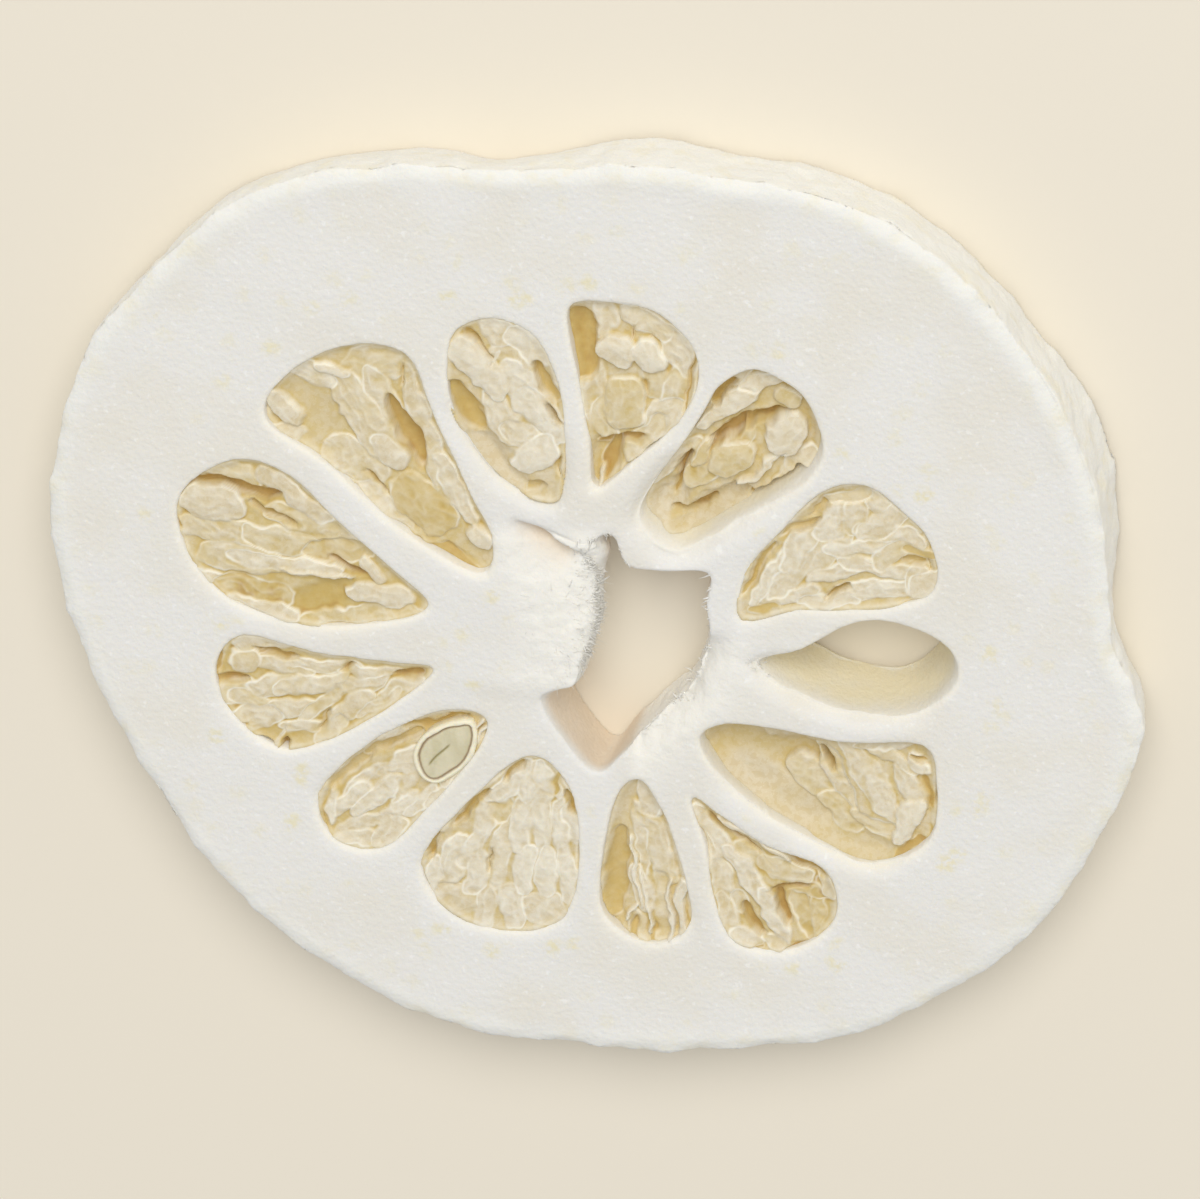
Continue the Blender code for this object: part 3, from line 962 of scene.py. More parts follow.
# The sacs of each pocket, by the number of its pulp. The golden and brown tones of the GAP rows, and of
# the deep SLOPE row by the south wall of 12, are painted shade.
SACS = {
    "01": drawn(
        SLOPE=((2.4, 13.6, 2.4, 1.0, 85, 1.9, 0.42), (5.6, 14.6, 2.2, 0.7, 48, 1.6, 0.40)),
        SAC=(
            (2.2, 19.6, 2.6, 0.8, 92, 0.9, 0.34), (2.9, 16.8, 1.6, 0.8, 100, 0.9, 0.42),
            (6.5, 20.0, 1.3, 0.9, 80, 0.8, 0.36), (8.5, 19.6, 2.3, 1.0, 70, 0.6, 0.30),
            (8.6, 22.7, 2.0, 1.0, -70, 0.6, 0.24), (6.3, 24.7, 1.9, 0.9, -26, 0.6, 0.26),
            (7.2, 17.2, 1.8, 0.9, 50, 0.7, 0.28), (5.8, 15.6, 2.0, 0.7, 45, 0.9, 0.34),
        ),
        GAP=(
            (1.6, 23.4, 3.0, 1.3, 95, 1.5, 0.78), (5.9, 19.3, 0.9, 0.25, 90, 1.1, 0.80),
            (5.2, 24.0, 0.45, 0.12, 75, 1.2, 1.00), (6.3, 23.3, 0.45, 0.10, 35, 1.1, 1.00),
            (4.0, 15.5, 1.9, 0.35, 8, 1.5, 0.95), (3.4, 14.0, 1.9, 0.5, 72, 1.8, 0.85),
            (9.4, 20.4, 3.4, 0.18, 80, 1.2, 0.85),
        ),
        LOBE=(
            (4.0, 22.2, 1.35, 1.25, -43, 0.4, 0.03), (6.2, 21.8, 1.4, 1.2, -40, 0.4, 0.02),
            (4.3, 18.1, 2.1, 1.6, -92, 0.6, 0.44),
        ),
        FIN=((2.5, 11.9, 1.0, 0.15, 80, 1.0, 0.10),),
    ),
    "02": drawn(
        SLOPE=((7.4, 10.6, 2.6, 1.3, 60, 2.4, 0.20), (11.2, 10.4, 3.6, 1.6, 38, 2.8, 0.28)),
        SAC=(
            (10.4, 13.6, 2.3, 0.9, 50, 1.5, 0.52), (12.9, 15.6, 1.4, 0.6, 55, 1.6, 0.60),
            (12.6, 18.6, 3.4, 0.6, 38, 1.0, 0.10), (14.4, 20.2, 1.6, 0.6, 15, 1.2, 0.25),
        ),
        GAP=(
            (9.6, 10.9, 1.9, 0.5, 15, 3.2, 0.95), (12.2, 17.0, 2.6, 0.5, 42, 2.7, 0.95),
            (15.0, 18.3, 2.0, 0.6, 20, 2.7, 0.85), (11.9, 20.0, 1.3, 0.5, 60, 2.2, 0.85),
            (15.7, 13.6, 3.3, 0.5, 33, 3.2, 0.90), (8.6, 13.3, 2.4, 0.25, 68, 2.7, 0.95),
        ),
        LOBE=(
            (12.2, 13.9, 1.9, 1.2, 30, 1.2, 0.44), (9.9, 14.2, 1.5, 0.5, 60, 1.3, 0.48),
            (16.5, 19.2, 1.0, 0.7, -25, 1.3, 0.50), (16.2, 16.0, 2.1, 1.4, 55, 1.0, 0.05),
        ),
        FIN=((14.3, 13.2, 2.6, 0.20, 40, 1.2, 0.00),),
    ),
    "03": drawn(
        SAC=(
            (15.9, 3.0, 2.0, 0.55, 12, 0.35, 0.10), (14.6, 4.4, 2.6, 0.45, 55, 0.4, 0.08),
            (16.6, 5.0, 2.6, 0.6, 45, 0.5, 0.22), (17.1, 7.0, 2.2, 0.8, 55, 0.4, 0.15),
            (18.8, 6.6, 2.3, 0.7, 45, 0.5, 0.20), (19.3, 9.1, 1.6, 0.9, 70, 0.5, 0.18),
            (21.0, 9.8, 1.4, 0.7, 85, 0.5, 0.22), (22.9, 10.7, 1.3, 0.7, -40, 0.5, 0.25),
            (24.8, 9.3, 1.3, 0.5, -20, 0.6, 0.42), (23.4, 8.2, 2.2, 0.6, -8, 0.4, 0.15),
            (21.2, 7.0, 2.4, 0.5, 10, 0.4, 0.12), (19.7, 5.1, 2.2, 0.5, 22, 0.4, 0.16),
            (22.6, 5.4, 2.6, 0.45, -12, 0.4, 0.10), (22.2, 3.6, 2.6, 0.7, 5, 0.5, 0.15),
            (25.3, 4.4, 1.3, 0.6, 60, 0.5, 0.25), (18.7, 2.7, 1.9, 0.45, 4, 0.5, 0.20),
        ),
        GAP=(
            (25.4, 6.4, 1.0, 0.40, 12, 1.1, 0.70), (19.6, 3.9, 1.1, 0.20, 25, 1.2, 0.85),
            (14.0, 5.6, 2.6, 0.30, 57, 1.2, 0.80), (17.0, 8.9, 1.5, 0.35, 32, 1.1, 0.65),
            (18.7, 10.9, 1.6, 0.25, 38, 1.1, 0.70), (26.4, 7.6, 2.0, 0.18, 95, 1.1, 0.70),
        ),
        LOBE=((20.7, 11.5, 1.9, 0.5, 15, 0.8, 0.45),),
    ),
    "05": drawn(
        SLOPE=(
            (11.6, -9.9, 2.8, 2.3, 20, 2.4, 0.52), (15.6, -10.4, 3.0, 2.1, -8, 2.6, 0.55),
            (13.6, -12.9, 3.6, 2.2, -38, 2.3, 0.36), (17.0, -15.2, 3.6, 2.2, -35, 2.0, 0.30),
            (20.4, -17.8, 3.4, 1.6, -18, 1.6, 0.42),
        ),
        SAC=(
            (17.5, -11.9, 1.9, 1.1, -35, 2.2, 0.48), (19.3, -12.6, 3.2, 0.7, -70, 1.7, 0.45),
            (19.4, -14.9, 1.9, 0.8, -48, 1.9, 0.60), (21.4, -12.0, 3.2, 0.9, -60, 1.1, 0.34),
            (22.6, -14.0, 2.0, 0.7, -62, 1.0, 0.20), (21.6, -15.8, 1.5, 0.6, -20, 1.5, 0.45),
            (24.4, -12.6, 1.9, 0.7, -55, 0.9, 0.22), (23.2, -10.3, 2.0, 0.5, -35, 0.9, 0.35),
            (25.2, -10.7, 1.0, 0.5, -60, 0.8, 0.20), (22.7, -9.1, 2.0, 0.45, 8, 0.9, 0.42),
        ),
        GAP=(
            (25.4, -9.9, 0.8, 0.15, -22, 1.4, 1.00), (25.8, -12.8, 1.4, 0.35, -75, 1.4, 0.90),
            (24.4, -17.6, 1.9, 0.40, 35, 1.5, 0.90), (25.9, -16.3, 0.9, 0.25, 75, 1.4, 0.90),
            (18.6, -10.0, 0.9, 0.18, -65, 2.6, 0.80),
        ),
        LOBE=((24.3, -15.6, 2.2, 0.9, 68, 0.7, 0.08),),
    ),
    "06": drawn(
        SAC=(
            (9.3, -18.6, 3.2, 0.7, -75, 0.6, 0.22), (10.6, -18.6, 2.8, 0.6, -55, 0.6, 0.20),
            (12.9, -19.4, 1.7, 0.5, -40, 0.8, 0.40), (10.2, -21.7, 1.7, 0.7, -85, 0.7, 0.28),
            (12.1, -21.2, 2.7, 0.6, -60, 0.4, 0.06), (14.0, -24.7, 2.4, 0.6, -72, 0.4, 0.06),
            (10.4, -24.4, 1.7, 0.55, -78, 0.6, 0.18), (11.4, -23.1, 1.0, 0.5, -75, 0.9, 0.40),
            (11.7, -26.2, 1.1, 0.6, -25, 0.6, 0.22), (14.2, -26.7, 1.3, 0.4, -15, 0.6, 0.25),
            (16.2, -23.7, 1.9, 0.5, -78, 1.1, 0.62), (17.3, -23.1, 2.0, 0.5, -95, 0.9, 0.55),
            (16.6, -21.8, 1.3, 0.5, -10, 0.9, 0.60), (14.8, -20.2, 1.9, 0.7, -18, 0.8, 0.38),
            (17.9, -21.0, 1.2, 0.4, -70, 0.7, 0.30),
        ),
        GAP=(
            (11.2, -16.9, 2.8, 0.15, -42, 1.2, 0.90), (12.4, -24.3, 1.5, 0.45, -62, 1.5, 0.85),
            (12.6, -26.8, 0.5, 0.15, 20, 1.1, 0.90), (14.8, -22.9, 1.7, 0.42, -78, 1.5, 0.88),
            (15.2, -21.4, 1.3, 0.15, 8, 1.4, 0.90), (16.7, -19.4, 1.7, 0.30, -35, 1.3, 0.85),
            (15.8, -26.4, 0.9, 0.35, 35, 1.4, 0.90),
        ),
        FIN=((12.6, -17.7, 3.6, 0.20, -34, 0.4, 0.10),),
    ),
    "07": drawn(
        SLOPE=((1.6, -24.3, 1.8, 0.6, -65, 1.9, 0.50), (3.4, -15.0, 1.5, 1.0, 70, 1.1, 0.38)),
        SAC=(
            (5.3, -18.6, 3.2, 0.7, -75, 0.8, 0.32), (4.1, -18.2, 2.8, 0.4, -82, 0.9, 0.36),
            (4.7, -15.6, 1.0, 0.4, -20, 0.8, 0.22), (5.4, -22.8, 1.7, 0.4, -92, 1.1, 0.50),
        ),
        GAP=(
            (2.2, -20.9, 3.9, 0.9, 84, 1.5, 0.80), (3.3, -25.9, 1.2, 0.38, 83, 1.4, 0.75),
            (4.9, -26.0, 1.1, 0.28, -86, 1.3, 0.75), (7.5, -24.3, 1.5, 0.15, -82, 1.2, 0.90),
        ),
        LOBE=((6.8, -24.0, 2.4, 0.42, -95, 0.5, 0.12),),
        FIN=(
            (3.6, -21.2, 3.2, 0.15, -83, 0.6, 0.05), (5.9, -24.4, 2.6, 0.15, -92, 0.5, 0.02),
            (4.4, -23.6, 2.6, 0.15, -84, 0.6, 0.04), (3.0, -24.7, 0.9, 0.12, 55, 0.5, 0.05),
        ),
    ),
    "08": drawn(
        SAC=(
            (-10.3, -20.9, 2.2, 0.9, 65, 0.3, 0.08), (-12.0, -22.2, 1.6, 0.6, 80, 0.4, 0.12),
            (-10.2, -24.1, 1.3, 1.2, 20, 0.5, 0.32), (-8.0, -24.6, 1.5, 0.7, 80, 0.5, 0.32),
            (-3.6, -24.6, 1.5, 1.1, 20, 0.5, 0.28), (-6.1, -24.3, 1.7, 0.8, 95, 0.4, 0.12),
            (-6.6, -19.6, 2.9, 0.6, 77, 0.6, 0.26), (-8.3, -18.6, 2.6, 0.6, 68, 0.5, 0.18),
            (-8.5, -21.8, 1.7, 0.7, 75, 0.5, 0.16), (-5.0, -17.2, 2.4, 0.7, 80, 0.4, 0.14),
            (-3.4, -17.2, 2.9, 0.6, 88, 0.4, 0.12), (-2.0, -17.8, 2.4, 0.5, 92, 0.4, 0.10),
            (-1.7, -21.4, 2.2, 0.6, 92, 0.4, 0.14), (-3.2, -21.4, 1.9, 0.6, 88, 0.4, 0.12),
            (-4.9, -21.4, 2.0, 0.7, 84, 0.4, 0.10), (-4.1, -13.8, 1.4, 0.7, 60, 0.4, 0.10),
            (-2.7, -13.6, 1.3, 0.5, -65, 0.4, 0.12), (-6.4, -16.2, 1.2, 0.6, 60, 0.8, 0.50),
        ),
        GAP=(
            (-5.2, -12.6, 1.2, 0.32, 47, 1.3, 0.85), (-8.5, -15.8, 2.3, 0.30, 46, 1.3, 0.85),
            (-11.6, -19.0, 1.2, 0.32, 58, 1.4, 0.80), (-1.0, -14.8, 1.0, 0.28, -70, 1.4, 0.85),
            (-7.4, -20.6, 0.9, 0.12, 75, 1.1, 0.70),
        ),
    ),
    "09": drawn(
        SAC=(
            (-16.6, -14.2, 2.2, 0.5, 38, 0.7, 0.12), (-14.8, -13.3, 2.0, 0.45, 48, 0.8, 0.22),
            (-13.7, -14.6, 1.9, 0.4, 62, 0.6, 0.25), (-18.0, -16.0, 1.9, 0.6, 40, 0.5, 0.10),
            (-15.9, -15.7, 2.2, 0.6, 42, 0.5, 0.10), (-14.3, -16.7, 2.0, 0.6, 48, 0.5, 0.14),
            (-12.5, -15.9, 1.5, 0.5, 45, 0.5, 0.14), (-16.8, -18.0, 2.0, 0.5, 15, 0.6, 0.26),
            (-17.5, -19.3, 1.5, 0.5, 0, 0.5, 0.30), (-14.9, -18.6, 1.5, 0.6, 35, 0.5, 0.18),
            (-10.6, -14.9, 1.6, 0.4, 40, 0.6, 0.20), (-8.7, -12.6, 1.6, 0.3, 55, 0.8, 0.20),
            (-19.4, -16.6, 1.4, 0.25, 85, 0.4, 0.06),
        ),
        GAP=(
            (-17.6, -13.0, 2.3, 0.50, 42, 1.3, 0.62), (-14.2, -10.6, 2.8, 0.45, 28, 1.3, 0.62),
            (-10.8, -8.6, 2.4, 0.30, 14, 1.3, 0.80), (-19.7, -18.2, 1.3, 0.16, 98, 1.2, 0.90),
            (-14.6, -19.7, 0.8, 0.20, 40, 1.1, 0.70), (-7.8, -9.7, 1.0, 0.07, 67, 1.0, 1.00),
        ),
        FIN=((-8.1, -9.7, 1.3, 0.14, 68, 0.3, 0.00), (-7.4, -9.6, 1.3, 0.14, 66, 0.3, 0.00)),
    ),
    "10": drawn(
        SAC=(
            (-26.2, -7.2, 1.4, 0.9, 15, 0.5, 0.25), (-24.6, -8.2, 1.7, 0.7, -25, 0.5, 0.24),
            (-24.2, -3.5, 1.3, 0.4, 0, 0.8, 0.45), (-22.2, -5.0, 1.9, 0.6, -8, 0.5, 0.16),
            (-19.2, -4.7, 2.4, 0.5, -2, 0.5, 0.16), (-15.8, -5.1, 2.0, 0.4, 4, 0.5, 0.14),
            (-23.3, -6.7, 1.6, 0.7, 10, 0.5, 0.18), (-20.3, -6.4, 2.4, 0.6, 12, 0.4, 0.12),
            (-16.8, -6.3, 2.2, 0.5, 18, 0.5, 0.16), (-13.6, -6.2, 1.7, 0.4, 25, 0.5, 0.16),
            (-22.2, -8.5, 1.9, 0.6, 12, 0.4, 0.12), (-19.7, -8.0, 1.9, 0.5, 40, 0.6, 0.26),
            (-17.4, -8.2, 1.9, 0.6, 40, 0.4, 0.10), (-15.2, -7.6, 1.8, 0.4, 32, 0.5, 0.16),
            (-21.3, -10.0, 1.6, 0.5, 5, 0.5, 0.20), (-18.9, -10.0, 1.4, 0.5, 45, 0.6, 0.28),
        ),
        GAP=(
            (-27.2, -4.6, 1.7, 0.25, 75, 1.1, 0.75), (-26.3, -5.8, 1.3, 0.30, -5, 1.2, 0.85),
            (-25.7, -9.5, 0.8, 0.14, 5, 1.1, 0.80), (-24.4, -10.6, 1.4, 0.75, -8, 2.2, 1.00),
            (-22.6, -11.0, 1.0, 0.25, 55, 1.9, 0.95), (-21.6, -11.9, 1.5, 0.22, 8, 1.5, 0.85),
            (-22.6, -3.5, 1.7, 0.28, -10, 1.2, 0.80), (-17.4, -4.6, 0.5, 0.15, 45, 1.1, 0.75),
            (-12.8, -4.7, 1.1, 0.28, 10, 1.2, 0.85), (-19.3, -9.0, 0.9, 0.14, 60, 1.1, 0.65),
        ),
        LOBE=((-25.3, -4.6, 1.3, 0.9, 20, 0.5, 0.20),),
        FIN=((-23.1, -10.9, 0.9, 0.12, 60, 0.7, 0.10),),
    ),
    "11": drawn(
        SLOPE=((-18.9, 1.0, 2.4, 1.5, 33, 1.0, 0.60),),
        SAC=(
            (-26.2, 6.0, 2.8, 1.0, -13, 0.5, 0.26), (-24.6, 4.0, 3.0, 1.0, -8, 0.5, 0.34),
            (-19.4, 7.0, 3.2, 0.9, -20, 0.6, 0.30), (-21.4, 5.6, 3.0, 0.8, -12, 0.6, 0.36),
            (-17.4, 5.2, 2.4, 0.8, 5, 1.0, 0.52), (-16.2, -0.4, 4.4, 0.7, 9, 0.8, 0.45),
            (-27.4, 2.2, 1.4, 0.8, -20, 0.6, 0.30), (-24.2, 1.6, 2.7, 0.9, -12, 0.8, 0.56),
            (-23.6, -0.1, 2.6, 0.7, -12, 0.5, 0.14), (-21.8, 3.7, 3.6, 0.6, -7, 0.5, 0.10),
        ),
        GAP=(
            (-24.8, 10.4, 3.2, 0.55, -12, 1.5, 0.80), (-22.3, 8.3, 1.8, 0.25, -28, 1.3, 0.75),
            (-16.9, 4.0, 1.5, 0.25, -25, 1.4, 0.85), (-29.0, 9.8, 1.2, 0.14, 50, 1.1, 0.95),
            (-29.6, 7.4, 0.7, 0.14, -55, 1.1, 0.95),
        ),
        LOBE=(
            (-27.0, 8.5, 2.5, 1.5, -13, 0.4, 0.08), (-20.8, 9.5, 3.4, 0.8, -36, 0.5, 0.14),
            (-15.1, 3.4, 1.3, 0.6, -45, 0.5, 0.14), (-14.5, 1.4, 2.6, 0.9, -6, 0.5, 0.06),
        ),
        FIN=((-19.4, 2.9, 2.6, 0.15, -6, 0.3, 0.00),),
    ),
    "12": drawn(
        SLOPE=(
            (-18.6, 16.8, 3.0, 1.6, -46, 1.1, 0.42), (-16.2, 11.9, 2.2, 1.0, -40, 1.3, 0.45),
            (-9.1, 4.9, 3.0, 0.9, -18, 1.8, 0.85),
        ),
        SAC=(
            (-13.4, 20.8, 2.6, 1.2, 12, 0.9, 0.42), (-15.9, 12.6, 2.4, 1.3, -35, 0.9, 0.32),
            (-14.0, 8.9, 2.3, 0.9, -46, 1.0, 0.28), (-15.0, 16.2, 3.5, 1.3, -63, 0.7, 0.18),
            (-12.9, 16.9, 3.4, 0.8, -62, 0.8, 0.28), (-10.4, 15.0, 5.0, 0.7, -75, 0.7, 0.30),
            (-8.5, 10.4, 2.6, 0.6, -68, 0.6, 0.14),
        ),
        GAP=(
            (-11.7, 15.6, 3.2, 0.75, -66, 1.7, 0.85), (-12.0, 19.9, 0.9, 0.14, 85, 1.2, 0.80),
            (-14.2, 11.2, 1.0, 0.14, -50, 1.4, 0.95), (-9.4, 5.3, 3.2, 0.8, -28, 1.4, 0.74),
        ),
        LOBE=(
            (-13.3, 13.4, 1.7, 1.0, -48, 0.7, 0.12), (-10.9, 9.2, 3.0, 1.8, -48, 0.8, 0.58),
            (-21.1, 16.6, 1.9, 0.75, -54, 0.5, 0.08), (-17.1, 19.9, 1.3, 0.5, -18, 0.6, 0.06),
            (-6.9, 6.7, 1.1, 0.7, -40, 0.5, 0.04),
        ),
    ),
    "13": drawn(
        SLOPE=((-5.6, 13.4, 3.4, 1.2, -52, 1.4, 0.30),),
        SAC=(
            (-4.4, 23.5, 1.5, 1.0, -29, 0.5, 0.22), (-3.7, 21.3, 1.5, 0.9, -30, 0.5, 0.30),
            (-2.5, 22.4, 1.7, 0.9, -52, 0.5, 0.16), (-2.9, 19.2, 2.1, 1.0, -40, 0.4, 0.14),
            (-4.7, 16.6, 2.0, 1.1, -65, 0.5, 0.20), (-1.7, 16.8, 2.2, 1.1, -54, 0.4, 0.12),
            (-3.4, 15.2, 1.4, 0.8, -40, 0.6, 0.24),
        ),
        GAP=(
            (-7.3, 17.9, 2.3, 0.75, -60, 1.5, 0.85), (-6.0, 22.6, 1.8, 0.40, -52, 1.3, 0.80),
            (-1.1, 19.9, 1.7, 0.50, -68, 1.3, 0.78), (-0.7, 17.7, 0.9, 0.14, -52, 1.7, 1.00),
            (-2.3, 11.2, 0.9, 0.35, 10, 1.4, 0.62), (-0.6, 13.1, 1.0, 0.12, 85, 1.2, 0.90),
        ),
        LOBE=((-6.3, 20.5, 2.9, 1.3, -50, 0.3, 0.02), (-2.4, 13.5, 2.0, 1.2, 35, 0.45, 0.05)),
        FIN=((-5.0, 21.5, 0.8, 0.13, 60, 0.5, 0.05),),
    ),
}

# How much browner than drawn each block of pulp is.
SHADES = {
    "01": 0.06, "02": 0.10, "03": 0.04, "06": 0.08, "08": -0.02,
    "09": 0.03, "10": 0.20, "11": 0.17, "12": 0.12,
}


def grid_prism(
    name: str, outline: Outline, spread: float, size: float,
) -> tuple[bpy.types.Mesh, np.ndarray]:
    """A prism as high as the slice, with a fine grid on both ends.

    Args:
        name: The mesh's name.
        outline: What it stands over.
        spread: How far it reaches past the outline, in mm. At 0, its sides lie on the outline.
        size: The grid's spacing, in mm.

    Returns:
        The mesh, and which of its points belong to the upper end.
    """
    low = outline.line.min(axis=0) - spread - size
    high = outline.line.max(axis=0) + spread + size
    span = high - low
    steps = np.ceil(span / size).astype(int)
    bm = bmesh.new()
    place = Matrix.Translation(Vector((*(low + high) / 2, 0.0)) * MM)
    stretch = Matrix.Diagonal(Vector((*span * MM, 1.0, 1.0)))
    bmesh.ops.create_grid(
        bm, x_segments=int(steps[0]), y_segments=int(steps[1]), size=0.5, matrix=place @ stretch,
    )
    flat = np.array([v.co.xy for v in bm.verts]) / MM
    outside = outline.depth_inside(flat) < -spread
    bmesh.ops.delete(bm, geom=[v for v, out in zip(bm.verts, outside) if out], context="VERTS")
    drop_loose_corners(bm)
    if spread == 0:
        for v in bm.verts:
            if v.is_boundary:
                v.co.xy = Vector(outline.nearest(np.array(v.co.xy) / MM)) * MM
    raised = bmesh.ops.extrude_face_region(bm, geom=bm.faces[:], use_keep_orig=True)
    top = [v for v in raised["geom"] if isinstance(v, bmesh.types.BMVert)]
    bmesh.ops.translate(bm, verts=top, vec=(0.0, 0.0, THICKNESS * MM))
    bmesh.ops.recalc_face_normals(bm, faces=bm.faces)
    mesh = mesh_of(name, bm)
    return mesh, coordinates(mesh)[:, 2] > THICKNESS / 2


def drop_loose_corners(bm: bmesh.types.BMesh) -> None:
    """Deletes a flat mesh's points that carry no face, or where two faces meet only at that point."""
    while True:
        loose = [
            v for v in bm.verts
            if not v.link_faces or sum(e.is_boundary for e in v.link_edges) > 2
        ]
        if not loose:
            return
        bmesh.ops.delete(bm, geom=loose, context="VERTS")


Wave = tuple[float, float]               # height and width, in mm


@dataclass
class PulpBlock:
    """The dried pulp of one pocket: a crumpled sheet of sacs over a solid, down to the lower face."""

    name: str
    pocket: Outline
    drawn: tuple[Sac, ...]
    finish: bpy.types.Material
    shade: float                      # how much browner than drawn the whole block is
    mesh_size: float = 0.085          # in mm
    bite: float = 0.18                # how far the pulp reaches into the pith
    free: float = 1.5                 # a place this many sac sizes from every drawn sac gets one more
    tries: int = 400                  # at strewing a sac where none is drawn
    lobes: float = 0.15               # the share of them that are lobes
    gaps: float = 0.12                # and that are gaps
    spacing: float = 1.7              # between them
    under_depth: float = 0.6          # how deep they lie at the lower face
    least_depth: float = 0.04
    edge_gap: float = 0.35            # deepest gap along the wall
    edge_gap_width: float = 0.15
    climb: float = 0.8                # how far the pulp climbs to the lip where it clings to the wall
    seam: float = 0.09                # half width of a membrane between two sacs
    seam_painted_shade: float = 0.13          # painted contact shade: how much browner the pulp is painted beside it
    overlap: float = 1.20             # how far a sac reaches over the next, as a share of its size
    evenness: float = 0.3             # 1 would lay all the sacs equally deep
    bed: float = 0.12                 # how far the membrane between the sacs lies below them
    bed_tone: float = 0.40
    warp: Wave = (0.46, 2.1)          # how the sacs' outlines are bent out of shape
    fine_warp: Wave = (0.17, 0.8)
    crumple: Wave = (0.07, 1.3)       # the crumples that cross the sacs
    crumple_painted_light: float = 0.20       # painted light and shade: how much paler their raised crests are painted, and how much browner their hollows

    def build(self) -> bpy.types.Object:
        """Models the piece that stands for the pulp's node."""
        node = f"pulp_{self.name}"
        mesh, upper = grid_prism(f"{node}_sacs", self.pocket, self.bite, self.mesh_size)
        points = coordinates(mesh)
        tone, ridge = np.zeros(len(points)), np.zeros(len(points))
        number = int(self.name)
        depth, tone[upper], ridge[upper] = self._relief(points[upper, :2], self._upper_sacs(), number)
        points[upper, 2] = THICKNESS - depth
        under = ~upper
        depth, tone[under], ridge[under] = self._relief(
            points[under, :2], self._scattered(900 + number), 100 + number)
        points[under, 2] = depth
        points[:, :2] = self.pocket.lowered(points[:, :2], THICKNESS - points[:, 2])
        set_coordinates(mesh, points)
        set_attributes(mesh, tone=np.clip(tone + self.shade, 0, 1), ridge=ridge)
        piece = new_object(mesh.name, mesh)
        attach(piece, BODY)
        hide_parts(node)
        return dressed(piece, self.finish)

    def _upper_sacs(self) -> list[Sac]:
        """The drawn sacs, moved back from where they show to where they lie, with gaps filled."""
        look = math.tan(LOOK_TILT) * SIDE
        placed = []
        for sac in self.drawn:
            at = np.array([sac.x, sac.y]) + CORE - sac.depth * look
            x, y = self.pocket.raised(at, np.array(sac.depth))
            placed.append(replace(sac, x=x, y=y))
        typical = float(np.median([sac.depth for sac in self.drawn]))
        for extra in self._scattered(int(self.name)):
            away = min(sac.reach(np.array([[extra.x, extra.y]]))[0][0] for sac in placed)
            if away > self.free:
                placed.append(replace(extra, depth=typical))
        return placed

    def _scattered(self, seed: int) -> list[Sac]:
        """Sacs strewn over the pocket, each lying away from the core.

        Args:
            seed: The seed of the draw.

        Returns:
            The sacs.
        """
        draw = np.random.default_rng(seed)
        low, high = self.pocket.line.min(axis=0), self.pocket.line.max(axis=0)
        strewn: list[Sac] = []
        for _ in range(self.tries):
            at = draw.uniform(low, high)
            if self.pocket.depth_inside(at[None])[0] < 0.2:
                continue
            if any(math.hypot(at[0] - s.x, at[1] - s.y) < self.spacing for s in strewn):
                continue
            outward = math.degrees(math.atan2(at[1] - CORE[1], at[0] - CORE[0]))
            form = Form.LOBE if draw.random() < self.lobes else Form.SAC
            gap = draw.random() < self.gaps
            strewn.append(Sac(
                Form.GAP if gap else form, float(at[0]), float(at[1]),
                draw.uniform(1.3, 2.4), draw.uniform(0.5, 0.9) * (0.5 if gap else 1.0),
                outward + draw.uniform(-25, 25),
                self.under_depth + draw.uniform(-0.15, 0.35) + (1.0 if gap else 0.0),
                # A gap's brown tone is painted shade.
                draw.uniform(0.7, 0.9) if gap else draw.uniform(0.05, 0.35),
            ))
        return strewn

    def _relief(self, points: np.ndarray, sacs: list[Sac], seed: int) -> tuple[np.ndarray, ...]:
        """The crumpled surface.

        Args:
            points: Places on the face.
            sacs: The sacs that share the surface between them.
            seed: The seed of the wrinkles.

        Returns:
            The depth, the tone and the strength of the membrane at each point.
        """
        grain, fine, draw = Grain(seed), Grain(seed + 50), np.random.default_rng(seed + 500)
        (far, wide), (near, narrow) = self.warp, self.fine_warp
        moved = points + np.stack([
            far * grain.at(points, wide) + near * fine.at(points, narrow),
            far * grain.at(points + 91.0, wide) + near * fine.at(points + 47.0, narrow),
        ], axis=1)
        shown = 0.25 + 0.75 * step_between(grain.at(points + 13.0, 2.3), -0.25, 0.2)
        typical = float(np.median([s.depth for s in sacs if s.form is Form.SAC]))
        depth = np.full(len(points), typical + self.bed)
        tone = np.full(len(points), self.bed_tone)
        ridge, papery = np.zeros(len(points)), np.ones(len(points))
        for sac in sorted(sacs, key=lambda sac: LAYERS.index(sac.form)):
            rise, crinkle, rim, blur, paper = sac.form.value
            reach, away = sac.reach(moved, self.overlap if sac.form is Form.SAC else 1.0)
            own = step_between(away, blur, -blur)
            folds = np.zeros(len(points))
            folds[own > 0] = self._folds(moved[own > 0], sac.bearing, grain, fine)
            swell = rise * min(sac.half_width, 1.2) * np.clip(1 - reach**2, 0, 1)
            even = self.evenness if sac.form is Form.SAC else 0.0
            level = typical + (1 - even) * (sac.depth - typical)
            depth += own * (level - swell - crinkle * (folds - 0.4) - depth)
            tone += own * (sac.tone + draw.uniform(-0.07, 0.07) - tone)
            papery += own * (paper - papery)
            strength = min(rim / 0.04, 1.0)
            # The outline is raised and paled: the membrane's own paler colour, with painted highlight
            # on its raised edge.
            outline = bump_at(away + 0.03, self.seam) * strength * shown
            depth -= rim * outline
            # Painted contact shade just outside the outline.
            tone += self.seam_painted_shade * strength * (1 - own) * bump_at(away - 0.16, 0.14)
